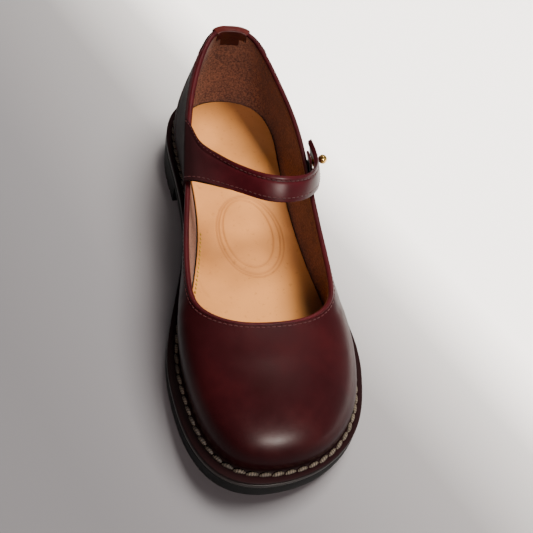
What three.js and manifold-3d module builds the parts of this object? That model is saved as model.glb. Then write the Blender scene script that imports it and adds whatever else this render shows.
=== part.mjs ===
// A left mary jane shoe in smooth waxed leather, made stitchdown: the foot of the upper is turned
// out into a flange, which is sewn down on a leather midsole, and a lugged rubber outsole with a
// heel is bonded under that. The strap is cut in one with the medial quarter, crosses the instep
// and closes on a brass ball stud beside the lateral quarter.
// Millimetres, +Z up. The toe points to -Y and the lateral side is +X. The origin is the middle
// of the heel's tread on the floor.
import * as THREE from "three";
import { mergeVertices } from "three/addons/utils/BufferGeometryUtils.js";
import Module from "manifold-3d";

const wasm = await Module();
wasm.setup();

// ---- driving dimensions -------------------------------------------------------------------
const GAP = 0.3; // clearance between touching pieces
const WALL = 2.4; // vamp or quarter with its lining
const FLANGE = 2.0; // the upper's turned-out foot, where the two leathers are pared
const MIDSOLE = 2.6;
const INSOLE = 3.4;
const OVERLAY = 1.3; // heel counter and medial quarter, over the wall
const STRAP = 2.3; // two leathers sewn back to back
const HEEL_BREAST = -34; // Y of the heel's front corners
const BREAST_HOLLOW = 5; // how far the breast curves back at its middle
const LUG_DEPTH = 2.6;
const GROOVE = 3; // width of a groove between lugs
const TOOTH_PITCH = 9.5; // round the heel's edge
const TOOTH_REACH = 7; // how far a notch between teeth runs in from the edge
const RIM = 6; // plain rim outside the inner grooves
const CENTRE_BAR = 9; // width of the bar down the middle of the tread
const CENTRE_X = 2;
const GROOVE_ROWS = [-202, -190.5, -179, -167.5, -156, -144.5, -133, -121.5, -110, -20, -9, 9, 20];
const SOLE_EASE = 0.9; // rounding of the rubber's edges
const SOLE_LENGTH = 270;
const BALL_RADIUS = 2.7; // ball of the stud
const NECK_RADIUS = 1.4;
const BASE_RADIUS = 3.2;
const STUD_TAB = 1.3; // leather of the tab that carries the stud
const TAB_WIDTH = 10;
const TAB_END = 6; // free length of the tab behind the stud

// Levels along the shoe: the midsole's top, and the outsole's underside with its toe spring,
// flat forepart and arch, which runs on over the heel block.
const LEVELS = [
  { place: "toe tip", y: -231, seat: 20.0, tread: 8.2 },
  { place: "toe", y: -215, seat: 17.0, tread: 4.8 },
  { place: "tip of ball", y: -195, seat: 14.0, tread: 1.5 },
  { place: "ball", y: -172, seat: 12.4, tread: 0 },
  { place: "joint", y: -140, seat: 12.0, tread: 0 },
  { place: "end of ball", y: -110, seat: 13.0, tread: 0 },
  { place: "waist", y: -80, seat: 16.0, tread: 4.5 },
  { place: "arch", y: -50, seat: 20.0, tread: 10.5 },
  { place: "breast", y: -22, seat: 23.5, tread: 15.0 },
  { place: "heel", y: 41, seat: 27.0, tread: 18.5 },
];

// Sections round the shoe, toe first, down the medial side to the heel and back along the
// lateral side. FEET: where the wall turns out into the flange. flange: how far the sole stands
// out from there. flare and rise: angle and length of the section's lower handle.
const FEET = [
  { place: "toe", x: -2, y: -223.4, flange: 6.3, flare: 9, rise: 23 },
  { place: "medial toe", x: -23, y: -218.2, flange: 7.4, flare: 10, rise: 23 },
  { place: "medial toe corner", x: -35.4, y: -199.4, flange: 7.3, flare: 9, rise: 21 },
  { place: "medial ball", x: -40.8, y: -175.6, flange: 7.1, flare: 7, rise: 17 },
  { place: "medial joint", x: -42, y: -149, flange: 6.6, flare: 5, rise: 15 },
  { place: "medial waist", x: -35, y: -112, flange: 5.6, flare: 7, rise: 15 },
  { place: "medial instep", x: -28.4, y: -72, flange: 5, flare: 14, rise: 15 },
  { place: "medial heel", x: -29.6, y: -32, flange: 5.7, flare: 10, rise: 16 },
  { place: "medial counter", x: -32.2, y: 2, flange: 6.1, flare: 6, rise: 18 },
  { place: "medial collar corner", x: -23, y: 26.6, flange: 5.6, flare: 7, rise: 19 },
  { place: "heel", x: 0, y: 35, flange: 5.2, flare: 8, rise: 20 },
  { place: "lateral collar corner", x: 23, y: 26.6, flange: 5.5, flare: 7, rise: 19 },
  { place: "lateral counter", x: 32.6, y: 2, flange: 5.6, flare: 6, rise: 18 },
  { place: "lateral heel", x: 33.2, y: -32, flange: 5.4, flare: 8, rise: 16 },
  { place: "lateral instep", x: 35.8, y: -72, flange: 5.2, flare: 5, rise: 15 },
  { place: "lateral waist", x: 42.4, y: -113, flange: 7.2, flare: -3, rise: 15 },
  { place: "lateral joint", x: 48.6, y: -150, flange: 7.2, flare: -4, rise: 16 },
  { place: "lateral ball", x: 47.6, y: -176.3, flange: 5.7, flare: 1, rise: 18 },
  { place: "lateral toe corner", x: 39.4, y: -199.2, flange: 5.4, flare: 8, rise: 21 },
  { place: "lateral toe", x: 21.6, y: -217.2, flange: 5, flare: 10, rise: 23 },
];
// TOPLINES: the topline of the same sections. drop and reach: angle and length of the upper
// handle, where a drop of 90 degrees is a wall that hangs straight down.
const TOPLINES = [
  { place: "toe", x: -2, y: -159.8, z: 53, drop: 8, reach: 40 },
  { place: "medial toe", x: -16, y: -158.6, z: 53, drop: 11, reach: 38 },
  { place: "medial toe corner", x: -28, y: -154.2, z: 53, drop: 21, reach: 29 },
  { place: "medial ball", x: -36.6, y: -146.3, z: 53.2, drop: 42, reach: 19 },
  { place: "medial joint", x: -39.6, y: -131, z: 54, drop: 62, reach: 14 },
  { place: "medial waist", x: -38.4, y: -102, z: 55.5, drop: 84, reach: 14 },
  { place: "medial instep", x: -34.8, y: -68, z: 59, drop: 92, reach: 14 },
  { place: "medial heel", x: -31.4, y: -32, z: 66, drop: 85, reach: 16 },
  { place: "medial counter", x: -24.6, y: 2, z: 75, drop: 78, reach: 17 },
  { place: "medial collar corner", x: -12.6, y: 30.8, z: 83.6, drop: 81, reach: 17 },
  { place: "heel", x: 0, y: 35, z: 85.4, drop: 85, reach: 20 },
  { place: "lateral collar corner", x: 14.4, y: 30.6, z: 83.4, drop: 81, reach: 17 },
  { place: "lateral counter", x: 26, y: 2, z: 75, drop: 79, reach: 17 },
  { place: "lateral heel", x: 34.4, y: -31, z: 66, drop: 86, reach: 16 },
  { place: "lateral instep", x: 36.6, y: -67, z: 59, drop: 88, reach: 14 },
  { place: "lateral waist", x: 36.8, y: -102, z: 55, drop: 74, reach: 14 },
  { place: "lateral joint", x: 36.4, y: -131, z: 54, drop: 61, reach: 16 },
  { place: "lateral ball", x: 33, y: -147, z: 53.2, drop: 40, reach: 21 },
  { place: "lateral toe corner", x: 24, y: -155.4, z: 53, drop: 21, reach: 30 },
  { place: "lateral toe", x: 12, y: -158.9, z: 53, drop: 11, reach: 38 },
];

// The strap's root on the medial quarter: v up the wall, the lift above that, and the Y of the
// strap's two edges. rear: the edge towards the heel. front: the edge towards the toe.
const ROOT_ROWS = [
  { place: "in the quarter", v: 0.6, lift: 0, rearY: -38, frontY: -58 },
  { place: "under the topline", v: 0.9, lift: 0, rearY: -30, frontY: -67 },
  { place: "round the topline", v: 1, lift: 1.6, rearY: -28.5, frontY: -70.5 },
];
// The same two edges from there over the instep to the tail beside the lateral quarter.
const STRAP_ROWS = [
  { place: "over the topline", rear: [-30, -33, 68.9], front: [-31.4, -72.4, 63.2] },
  { place: "root", rear: [-25.4, -49, 69], front: [-24, -74.8, 63.6] },
  { place: "medial rise", rear: [-15.6, -61.5, 71], front: [-15.5, -78.2, 63.6] },
  { place: "medial crown", rear: [-5, -72.5, 74], front: [-5, -83.5, 64.5] },
  { place: "crown", rear: [6, -80, 76], front: [7, -89.5, 65.5] },
  { place: "lateral crown", rear: [16.5, -82, 76], front: [17.5, -90.5, 65.4] },
  { place: "lateral fall", rear: [26.6, -79.5, 74.5], front: [28.2, -86.5, 63.6] },
  { place: "outer turn", rear: [33.8, -73.5, 72.3], front: [36.6, -77.8, 60.6] },
  { place: "beside the quarter", rear: [37.8, -65, 70.3], front: [41.1, -67.6, 57] },
  { place: "stud", rear: [38.6, -55.5, 69.6], front: [43, -57, 55.6] },
  { place: "tail", rear: [37.6, -46.5, 69.6], front: [41.8, -45.5, 56] },
];
// Where the stud's tab is sewn to the lateral quarter: Y, and v of its two edges.
const TAB_SEWN = [
  { y: -79, low: 0.72, high: 0.95 },
  { y: -72, low: 0.72, high: 0.95 },
];
const STUD_PLACE = "stud"; // the row of the strap that the stud passes through

// Side outlines (Y, Z) that the overlays are cut to, each closed round the back or the root.
const COUNTER_SEAM = [
  { y: 23, z: 90 },
  { y: 19, z: 76 },
  { y: 8, z: 55 },
  { y: -8, z: 38 },
  { y: -24, z: 20 },
];
const QUARTER_FRONT = [
  { y: -72, z: 90 },
  { y: -71, z: 62 },
  { y: -66, z: 50 },
  { y: -55, z: 36 },
  { y: -44, z: 15 },
];

// ---- curves and levels --------------------------------------------------------------------
const STEPS_PER_SECTION = 4;
const MERGE = 1e-4; // points closer than this are one
const BEYOND = 60; // clear of the shoe on every side, for shapes that cut it
const HEEL_FROM = 0.3; // t where the heel's half of the outline begins
const ROUND = FEET.length * STEPS_PER_SECTION;

// Smooth height through one column of LEVELS that never overshoots its rows.
function level(name, y) {
  const rows = LEVELS;
  const slope = (k) => (rows[k + 1][name] - rows[k][name]) / (rows[k + 1].y - rows[k].y);
  const tangent = (k) => {
    if (k === 0) return slope(0);
    if (k === rows.length - 1) return slope(k - 1);
    const [before, after] = [slope(k - 1), slope(k)];
    return before * after > 0 ? (2 * before * after) / (before + after) : 0;
  };
  let k = 0;
  while (k < rows.length - 2 && y > rows[k + 1].y) k += 1;
  const span = rows[k + 1].y - rows[k].y;
  const u = THREE.MathUtils.clamp((y - rows[k].y) / span, 0, 1);
  const [a, b] = [rows[k][name], rows[k + 1][name]];
  const [ta, tb] = [tangent(k) * span, tangent(k + 1) * span];
  const blend = u * u * (3 - 2 * u);
  return a + (b - a) * blend + u * (1 - u) * (ta * (1 - u) - tb * u);
}
const seat = (y) => level("seat", y);
const tread = (y) => level("tread", y);

// Control values of the closed cubic spline that passes through the values given.
function splineControls(values) {
  const n = values.length;
  const passes = 40;
  let controls = [...values];
  for (let pass = 0; pass < passes; pass += 1) {
    const c = controls;
    controls = c.map((v, i) => v + values[i] - (c[(i + n - 1) % n] + 4 * v + c[(i + 1) % n]) / 6);
  }
  return controls;
}
const column = (table, name) => splineControls(table.map((row) => row[name]));
const COLUMNS = {
  footX: column(FEET, "x"),
  footY: column(FEET, "y"),
  flange: column(FEET, "flange"),
  flare: column(FEET, "flare"),
  rise: column(FEET, "rise"),
  topX: column(TOPLINES, "x"),
  topY: column(TOPLINES, "y"),
  topZ: column(TOPLINES, "z"),
  drop: column(TOPLINES, "drop"),
  reach: column(TOPLINES, "reach"),
};

// Value of a column at t, which runs from 0 to 1 once round the shoe.
function around(name, t) {
  const controls = COLUMNS[name];
  const n = controls.length;
  const s = (((t % 1) + 1) % 1) * n;
  const i = Math.floor(s);
  const u = s - i;
  const weights = [
    (1 - u) ** 3,
    3 * u ** 3 - 6 * u ** 2 + 4,
    -3 * u ** 3 + 3 * u ** 2 + 3 * u + 1,
    u ** 3,
  ];
  return weights.reduce((sum, w, k) => sum + (w / 6) * controls[(i + k + n - 1) % n], 0);
}

// Outward direction in plan of the line that two columns draw.
function outward(nameX, nameY, t) {
  const h = 0.004;
  const dx = around(nameX, t + h) - around(nameX, t - h);
  const dy = around(nameY, t + h) - around(nameY, t - h);
  return new THREE.Vector3(-dy, dx, 0).normalize();
}
const UP = new THREE.Vector3(0, 0, 1);

// A point of the sole's outline, `out` mm outside the foot of the wall.
function footPoint(t, out) {
  const foot = new THREE.Vector3(around("footX", t), around("footY", t), 0);
  return foot.addScaledVector(outward("footX", "footY", t), out);
}
const soleEdge = (t, inset) => footPoint(t, around("flange", t) - inset);

// ---- the upper's own function ---------------------------------------------------------------
// Outer face of the wall: v runs from 0 at the foot to 1 at the topline.
function wallPoint(t, v) {
  const foot = footPoint(t, 0);
  foot.z = seat(foot.y) + GAP + FLANGE;
  const top = new THREE.Vector3(around("topX", t), around("topY", t), around("topZ", t));
  const flare = THREE.MathUtils.degToRad(around("flare", t));
  const drop = THREE.MathUtils.degToRad(around("drop", t));
  const lower = outward("footX", "footY", t).multiplyScalar(Math.sin(flare));
  lower.addScaledVector(UP, Math.cos(flare)).multiplyScalar(around("rise", t)).add(foot);
  const upper = outward("topX", "topY", t).multiplyScalar(Math.cos(drop));
  upper.addScaledVector(UP, -Math.sin(drop)).multiplyScalar(around("reach", t)).add(top);
  return new THREE.CubicBezierCurve3(foot, lower, upper, top).getPoint(v);
}

// The same face moved `grow` mm along its own normal.
function wall(t, v, grow = 0) {
  const h = 0.003;
  const point = wallPoint(t, v);
  if (grow === 0) return point;
  const alongT = wallPoint(t + h, v).sub(wallPoint(t - h, v));
  const alongV = wallPoint(t, Math.min(v + h, 1)).sub(wallPoint(t, Math.max(v - h, 0)));
  return point.addScaledVector(alongV.cross(alongT).normalize(), grow);
}

// ---- closed skins -----------------------------------------------------------------------------
// Collects rings of points and the faces between them.
class Skin {
  positions = [];
  faces = [];
  ring(points) {
    return points.map((p) => this.positions.push(p.x, p.y, p.z) / 3 - 1);
  }
  // Faces between two rings of the same count, which close on themselves.
  band(lower, upper) {
    const n = lower.length;
    lower.forEach((a, i) => {
      const b = lower[(i + 1) % n];
      const [c, d] = [upper[i], upper[(i + 1) % n]];
      this.faces.push(a, d, b, a, c, d);
    });
  }
  // Closes a ring that is symmetric in count from toe to heel, with rungs from side to side.
  ladder(ring, up) {
    const n = ring.length;
    for (let i = 0; i < n / 2; i += 1) {
      const [a, b, c, d] = [ring[i], ring[i + 1], ring[n - 1 - i], ring[(n - i) % n]];
      const pair = [a, c, b, a, d, c];
      if (!up) pair.reverse();
      this.faces.push(...pair);
    }
  }
  geometry() {
    const kept = [];
    for (let k = 0; k < this.faces.length; k += 3) {
      const [a, b, c] = this.faces.slice(k, k + 3);
      if (a !== b && b !== c && c !== a) kept.push(a, b, c);
    }
    const geometry = new THREE.BufferGeometry();
    geometry.setAttribute("position", new THREE.Float32BufferAttribute(this.positions, 3));
    geometry.setIndex(kept);
    return geometry;
  }
}
const roundShoe = (at) => Array.from({ length: ROUND }, (_, i) => at(i / ROUND));

// Turns a three.js geometry into a manifold solid, and back.
function solidOf(source) {
  const bare = new THREE.BufferGeometry();
  bare.setAttribute("position", source.attributes.position);
  bare.setIndex(source.index);
  const merged = mergeVertices(bare, MERGE);
  const vertProperties = new Float32Array(merged.attributes.position.array);
  const triVerts = new Uint32Array(merged.index.array);
  return new wasm.Manifold(new wasm.Mesh({ numProp: 3, vertProperties, triVerts }));
}
function geometryOf(solid) {
  const mesh = solid.getMesh();
  const geometry = new THREE.BufferGeometry();
  geometry.setAttribute("position", new THREE.Float32BufferAttribute(mesh.vertProperties, 3));
  geometry.setIndex([...mesh.triVerts]);
  return geometry;
}

// ---- sole layers --------------------------------------------------------------------------------
// A layer between two levels, each a function of Y, inside the outline that edge(t, inset) gives.
// Both edges are eased by `ease` mm.
function layer({ edge, lower, upper, ease }) {
  const skin = new Skin();
  const at = (inset, height, shift) =>
    skin.ring(roundShoe((t) => edge(t, inset)).map((p) => p.setZ(height(p.y) + shift)));
  const under = at(ease, lower, 0);
  const low = at(0, lower, ease);
  const high = at(0, upper, -ease);
  const over = at(ease, upper, 0);
  skin.ladder(under, false);
  skin.band(under, low);
  skin.band(low, high);
  skin.band(high, over);
  skin.ladder(over, true);
  return skin.geometry();
}

function box(width, depth, height, x, y, z, turn = 0) {
  const shape = new THREE.BoxGeometry(width, depth, height);
  shape.rotateZ(turn);
  return solidOf(shape.translate(x, y, z));
}

const outsoleTop = (y) => seat(y) - MIDSOLE - GAP;

// Everything behind the hollow heel breast.
function heelArea() {
  const plan = new THREE.Shape();
  plan.moveTo(-BEYOND, HEEL_BREAST);
  plan.quadraticCurveTo(0, HEEL_BREAST + 2 * BREAST_HOLLOW, BEYOND, HEEL_BREAST);
  plan.lineTo(BEYOND, BEYOND);
  plan.lineTo(-BEYOND, BEYOND);
  const settings = { depth: 2 * BEYOND, bevelEnabled: false, curveSegments: 10 };
  return solidOf(new THREE.ExtrudeGeometry(plan, settings).translate(0, 0, -BEYOND));
}

// Teeth round the heel: notches square to the edge, one each TOOTH_PITCH along it.
function heelNotches() {
  const notches = [];
  let travelled = 0;
  let last = soleEdge(HEEL_FROM, 0);
  for (let t = HEEL_FROM; t < 1 - HEEL_FROM; t += 0.0005) {
    const here = soleEdge(t, 0);
    travelled += here.distanceTo(last);
    last = here;
    if (here.y < HEEL_BREAST + GROOVE || travelled < TOOTH_PITCH) continue;
    travelled = 0;
    const out = outward("footX", "footY", t);
    const turn = Math.atan2(out.y, out.x);
    notches.push(box(2 * TOOTH_REACH, GROOVE, 2 * LUG_DEPTH, here.x, here.y, 0, turn));
  }
  return notches;
}

// Cross grooves between the inner lugs, under the forepart and the heel, kept inside the rim
// and off the bar that runs down the middle.
function innerGrooves() {
  const cuts = GROOVE_ROWS.map((y) => box(2 * BEYOND, GROOVE, 2 * BEYOND, 0, y, 0));
  const hollow = layer({
    edge: (t, inset) => soleEdge(t, inset + RIM),
    lower: () => -LUG_DEPTH,
    upper: (y) => (y > HEEL_BREAST ? LUG_DEPTH : tread(y) + LUG_DEPTH),
    ease: 0.01,
  });
  const bar = box(CENTRE_BAR, 2 * SOLE_LENGTH, 2 * BEYOND, CENTRE_X, 0, 0);
  const grooves = cuts.reduce((all, cut) => all.add(cut));
  return grooves.subtract(bar).intersect(solidOf(hollow));
}

function outsole() {
  const sheet = layer({ edge: soleEdge, lower: tread, upper: outsoleTop, ease: SOLE_EASE });
  const liftTop = (y) => outsoleTop(y) - SOLE_EASE - GAP;
  const lift = layer({ edge: soleEdge, lower: () => 0, upper: liftTop, ease: SOLE_EASE });
  const whole = solidOf(sheet).add(solidOf(lift).intersect(heelArea()));
  const notched = heelNotches().reduce((body, notch) => body.subtract(notch), whole);
  return geometryOf(notched.subtract(innerGrooves()));
}

function midsole() {
  const lower = (y) => seat(y) - MIDSOLE;
  return layer({ edge: soleEdge, lower, upper: seat, ease: 0.3 });
}

function insole() {
  const edge = (t, inset) => footPoint(t, -WALL - 2 * GAP - inset);
  const lower = (y) => seat(y) + GAP;
  const upper = (y) => seat(y) + GAP + INSOLE;
  return layer({ edge, lower, upper, ease: 0.4 });
}

// ---- upper --------------------------------------------------------------------------------------
const WALL_ROWS = [0.05, 0.13, 0.22, 0.32, 0.42, 0.52, 0.62, 0.72, 0.82, 0.91, 1];
const FOOT_FILLET = 0.9; // radius where the wall turns out into the flange
const TOPLINE_CROWN = 0.7; // height of the rolled edge along the topline
const OVERLAY_FOOT = 0.05; // v where an overlay begins
const OVERLAY_TOP = 0.985; // v where it ends, just under the topline

// One hollow wall, open at the topline and underneath, with its foot turned out.
function upper() {
  const skin = new Skin();
  const under = (p) => p.setZ(seat(p.y) + GAP);
  const over = (p) => p.setZ(seat(p.y) + GAP + FLANGE);
  const rings = [];
  rings.push(roundShoe((t) => under(footPoint(t, -WALL))));
  rings.push(roundShoe((t) => under(soleEdge(t, 0))));
  rings.push(roundShoe((t) => over(soleEdge(t, 0))));
  rings.push(roundShoe((t) => over(footPoint(t, FOOT_FILLET))));
  for (const v of WALL_ROWS) rings.push(roundShoe((t) => wall(t, v)));
  rings.push(roundShoe((t) => wall(t, 1, -WALL / 2).addScaledVector(UP, TOPLINE_CROWN)));
  for (const v of [...WALL_ROWS].reverse()) rings.push(roundShoe((t) => wall(t, v, -WALL)));
  const indices = rings.map((points) => skin.ring(points));
  indices.forEach((ring, k) => skin.band(ring, indices[(k + 1) % indices.length]));
  return skin.geometry();
}

// A larger form of the upper's outside, between two heights and `overrun` beyond them.
function outerForm(grow, overrun) {
  const skin = new Skin();
  const between = WALL_ROWS.filter((v) => v > OVERLAY_FOOT && v < OVERLAY_TOP);
  const rings = [OVERLAY_FOOT, ...between, OVERLAY_TOP].map((v) => roundShoe((t) => wall(t, v, grow)));
  rings.unshift(rings[0].map((p) => p.clone().addScaledVector(UP, -overrun)));
  rings.push(rings[rings.length - 1].map((p) => p.clone().addScaledVector(UP, overrun)));
  const indices = rings.map((points) => skin.ring(points));
  for (let k = 0; k + 1 < indices.length; k += 1) skin.band(indices[k], indices[k + 1]);
  skin.ladder(indices[0], false);
  skin.ladder(indices[indices.length - 1], true);
  return solidOf(skin.geometry());
}

// The proud skin that overlays are cut from: a larger form less a smaller one.
const overlaySkin = () => outerForm(GAP + OVERLAY, 0).subtract(outerForm(GAP, 4));

// A prism across the shoe from a side outline given in Y and Z, between two X values.
function sidePanel(outline, fromX, toX) {
  const shape = new THREE.Shape(outline.map((p) => new THREE.Vector2(p.y, p.z)));
  const prism = new THREE.ExtrudeGeometry(shape, { depth: toX - fromX, bevelEnabled: false });
  const [along, across] = [new THREE.Vector3(0, 1, 0), new THREE.Vector3(1, 0, 0)];
  prism.applyMatrix4(new THREE.Matrix4().makeBasis(along, UP, across));
  return solidOf(prism.translate(fromX, 0, 0));
}
// A curved seam through its rows, as an even run of points.
function seam(rows) {
  const curve = new THREE.CatmullRomCurve3(rows.map((p) => new THREE.Vector3(0, p.y, p.z)));
  return curve.getPoints(12);
}

function heelCounter() {
  const behind = [{ y: BEYOND, z: 20 }, { y: BEYOND, z: 90 }];
  const outline = [...seam(COUNTER_SEAM), ...behind];
  return geometryOf(overlaySkin().intersect(sidePanel(outline, -BEYOND, BEYOND)));
}

// ---- strap and its closure ------------------------------------------------------------------------
// The place t on one side of the shoe where the wall, at v of its height, is at this Y.
const MEDIAL = { ball: 0.1, heel: 0.49 };
const LATERAL = { ball: 0.9, heel: 0.51 };
// s where the quarter's single leather becomes the strap's two.
const DOUBLED_FROM = 0.2;
const DOUBLED_TO = 0.4;
function sideT(y, v, side) {
  let { ball, heel } = side;
  const passes = 30;
  for (let pass = 0; pass < passes; pass += 1) {
    const middle = (ball + heel) / 2;
    if (wallPoint(middle, v).y < y) ball = middle;
    else heel = middle;
  }
  return ball;
}

const LAID_GAP = 1.4 * GAP; // clearance under a band that is laid on the wall

// The strap's middle surface: s runs along its rows, w from the rear edge to the front edge.
function strapEdge(name) {
  const onWall = ROOT_ROWS.map(({ v, lift, [`${name}Y`]: y }) =>
    wall(sideT(y, v, MEDIAL), v, LAID_GAP + OVERLAY / 2).addScaledVector(UP, lift),
  );
  const free = STRAP_ROWS.map((row) => new THREE.Vector3(...row[name]));
  return new THREE.CatmullRomCurve3([...onWall, ...free]);
}
const REAR_EDGE = strapEdge("rear");
const FRONT_EDGE = strapEdge("front");
const strapPoint = (s, w) => REAR_EDGE.getPoint(s).lerp(FRONT_EDGE.getPoint(s), w);
function strapNormal(s, w) {
  const h = 0.01;
  const along = strapPoint(Math.min(s + h, 1), w).sub(strapPoint(Math.max(s - h, 0), w));
  const across = strapPoint(s, 1).sub(strapPoint(s, 0));
  return across.cross(along).normalize();
}
// A face of the strap, side +1 or -1, which thickens from the quarter's leather to two leathers.
function strapFace(s, w, side) {
  const doubled = THREE.MathUtils.smoothstep(s, DOUBLED_FROM, DOUBLED_TO);
  const thickness = THREE.MathUtils.lerp(OVERLAY, STRAP, doubled);
  return strapPoint(s, w).addScaledVector(strapNormal(s, w), (side * thickness) / 2);
}

const STRAP_STEPS = 44;
const TAB_STEPS = 14;
// A flat band whose rows of (s, w) give its middle, closed at both ends.
function band(steps, at) {
  const skin = new Skin();
  const across = [0, 0.25, 0.5, 0.75, 1];
  const rings = Array.from({ length: steps + 1 }, (_, k) => {
    const above = [...across].reverse().map((w) => at(k / steps, w, 1));
    const below = across.map((w) => at(k / steps, w, -1));
    return skin.ring([...above, ...below]);
  });
  for (let k = 0; k < steps; k += 1) skin.band(rings[k], rings[k + 1]);
  const last = across.length * 2 - 1;
  for (const [ring, first] of [[rings[0], true], [rings[steps], false]]) {
    for (let i = 0; i + 1 < across.length; i += 1) {
      const [a, b, c, d] = [ring[i], ring[i + 1], ring[last - 1 - i], ring[last - i]];
      skin.faces.push(...(first ? [a, b, c, a, c, d] : [a, c, b, a, d, c]));
    }
  }
  return skin.geometry();
}

const STUD_INDEX = ROOT_ROWS.length + STRAP_ROWS.findIndex((row) => row.place === STUD_PLACE);
const STUD_S = STUD_INDEX / (ROOT_ROWS.length + STRAP_ROWS.length - 1);
const STUD_CENTRE = strapPoint(STUD_S, 0.5);
const STUD_AXIS = strapNormal(STUD_S, 0.5);
// Distances along the stud's axis, outwards from the strap's middle.
const BASE_TOP = -STRAP / 2 - GAP;
const BASE = 0.8; // thickness of the base that keeps strap and tab apart
const TAB_TOP = BASE_TOP - BASE - GAP;

// A round piece on the stud's axis, its profile in (radius, distance outwards).
function onStud(profile) {
  const turned = new THREE.LatheGeometry(profile, 20);
  const lathe = new THREE.Vector3(0, 1, 0);
  turned.applyQuaternion(new THREE.Quaternion().setFromUnitVectors(lathe, STUD_AXIS));
  return turned.translate(STUD_CENTRE.x, STUD_CENTRE.y, STUD_CENTRE.z);
}
function studHole() {
  const radius = NECK_RADIUS + GAP;
  const reach = 12;
  const profile = [[0, -reach], [radius, -reach], [radius, reach], [0, reach]];
  return solidOf(onStud(profile.map(([r, z]) => new THREE.Vector2(r, z))));
}

// Brass ball stud: shank in the tab, flat base, neck through the strap, ball outside it.
function stud() {
  const ball = STRAP / 2 + GAP + BALL_RADIUS;
  const neckAngle = Math.asin(NECK_RADIUS / BALL_RADIUS);
  const profile = [
    new THREE.Vector2(0, TAB_TOP - STUD_TAB + GAP),
    new THREE.Vector2(NECK_RADIUS, TAB_TOP - STUD_TAB + GAP),
    new THREE.Vector2(NECK_RADIUS, BASE_TOP - BASE),
    new THREE.Vector2(BASE_RADIUS, BASE_TOP - BASE),
    new THREE.Vector2(BASE_RADIUS, BASE_TOP),
    new THREE.Vector2(NECK_RADIUS, BASE_TOP),
  ];
  const steps = 9;
  for (let k = 0; k <= steps; k += 1) {
    const angle = neckAngle + ((Math.PI - neckAngle) * k) / steps;
    profile.push(new THREE.Vector2(BALL_RADIUS * Math.sin(angle), ball - BALL_RADIUS * Math.cos(angle)));
  }
  profile[profile.length - 1].x = 0;
  return onStud(profile);
}

// Short leather tab: sewn to the lateral quarter at its front, with the stud near its free end.
function studTab() {
  const middle = TAB_TOP - STUD_TAB / 2;
  const back = new THREE.Vector3().crossVectors(STUD_AXIS, UP).normalize();
  if (back.y < 0) back.negate();
  const up = new THREE.Vector3().crossVectors(back, STUD_AXIS).normalize();
  if (up.z < 0) up.negate();
  const edge = (side) => {
    const sewn = TAB_SEWN.map(({ y, low, high }) => {
      const v = side > 0 ? high : low;
      return wall(sideT(y, v, LATERAL), v, LAID_GAP + STUD_TAB / 2);
    });
    const free = [-4, 1, TAB_END].map((distance) =>
      STUD_CENTRE.clone()
        .addScaledVector(STUD_AXIS, middle)
        .addScaledVector(back, distance)
        .addScaledVector(up, (side * TAB_WIDTH) / 2),
    );
    return new THREE.CatmullRomCurve3([...sewn, ...free]);
  };
  const [high, low] = [edge(1), edge(-1)];
  const at = (s, w) => high.getPoint(s).lerp(low.getPoint(s), w);
  const face = (s, w, side) => {
    const h = 0.02;
    const along = at(Math.min(s + h, 1), w).sub(at(Math.max(s - h, 0), w));
    const normal = at(s, 1).sub(at(s, 0)).cross(along).normalize();
    return at(s, w).addScaledVector(normal, (side * STUD_TAB) / 2);
  };
  return geometryOf(solidOf(band(TAB_STEPS, face)).subtract(studHole()));
}

function quarterStrap() {
  const strap = solidOf(band(STRAP_STEPS, strapFace));
  const rearSeam = seam(COUNTER_SEAM).map((p) => ({ y: p.y - 2 * GAP, z: p.z }));
  const outline = [...rearSeam, ...seam(QUARTER_FRONT).reverse()];
  const quarter = overlaySkin().intersect(sidePanel(outline, -BEYOND, 0));
  return geometryOf(quarter.add(strap).subtract(studHole()));
}

// ---- assembly -----------------------------------------------------------------------------------
const oxblood = new THREE.MeshStandardMaterial({ color: 0x5a2025, roughness: 0.38, metalness: 0 });
const rubber = new THREE.MeshStandardMaterial({ color: 0x2b3032, roughness: 0.8, metalness: 0 });
const brownLeather = new THREE.MeshStandardMaterial({ color: 0x33211c, roughness: 0.6, metalness: 0 });
const tan = new THREE.MeshStandardMaterial({ color: 0xe0bd98, roughness: 0.65, metalness: 0 });
const brass = new THREE.MeshStandardMaterial({ color: 0xc8a24a, roughness: 0.25, metalness: 1 });

const shoe = new THREE.Group();
function add(name, geometry, material) {
  const mesh = new THREE.Mesh(geometry, material);
  mesh.name = name;
  shoe.add(mesh);
}
add("outsole", outsole(), rubber);
add("midsole", midsole(), brownLeather);
add("insole", insole(), tan);
add("upper", upper(), oxblood);
add("heel_counter", heelCounter(), oxblood);
add("quarter_strap", quarterStrap(), oxblood);
add("stud_tab", studTab(), oxblood);
add("stud", stud(), brass);

export default shoe;
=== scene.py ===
import math
import bmesh
import bpy
import numpy as np
from mathutils import Matrix, Vector


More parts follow.
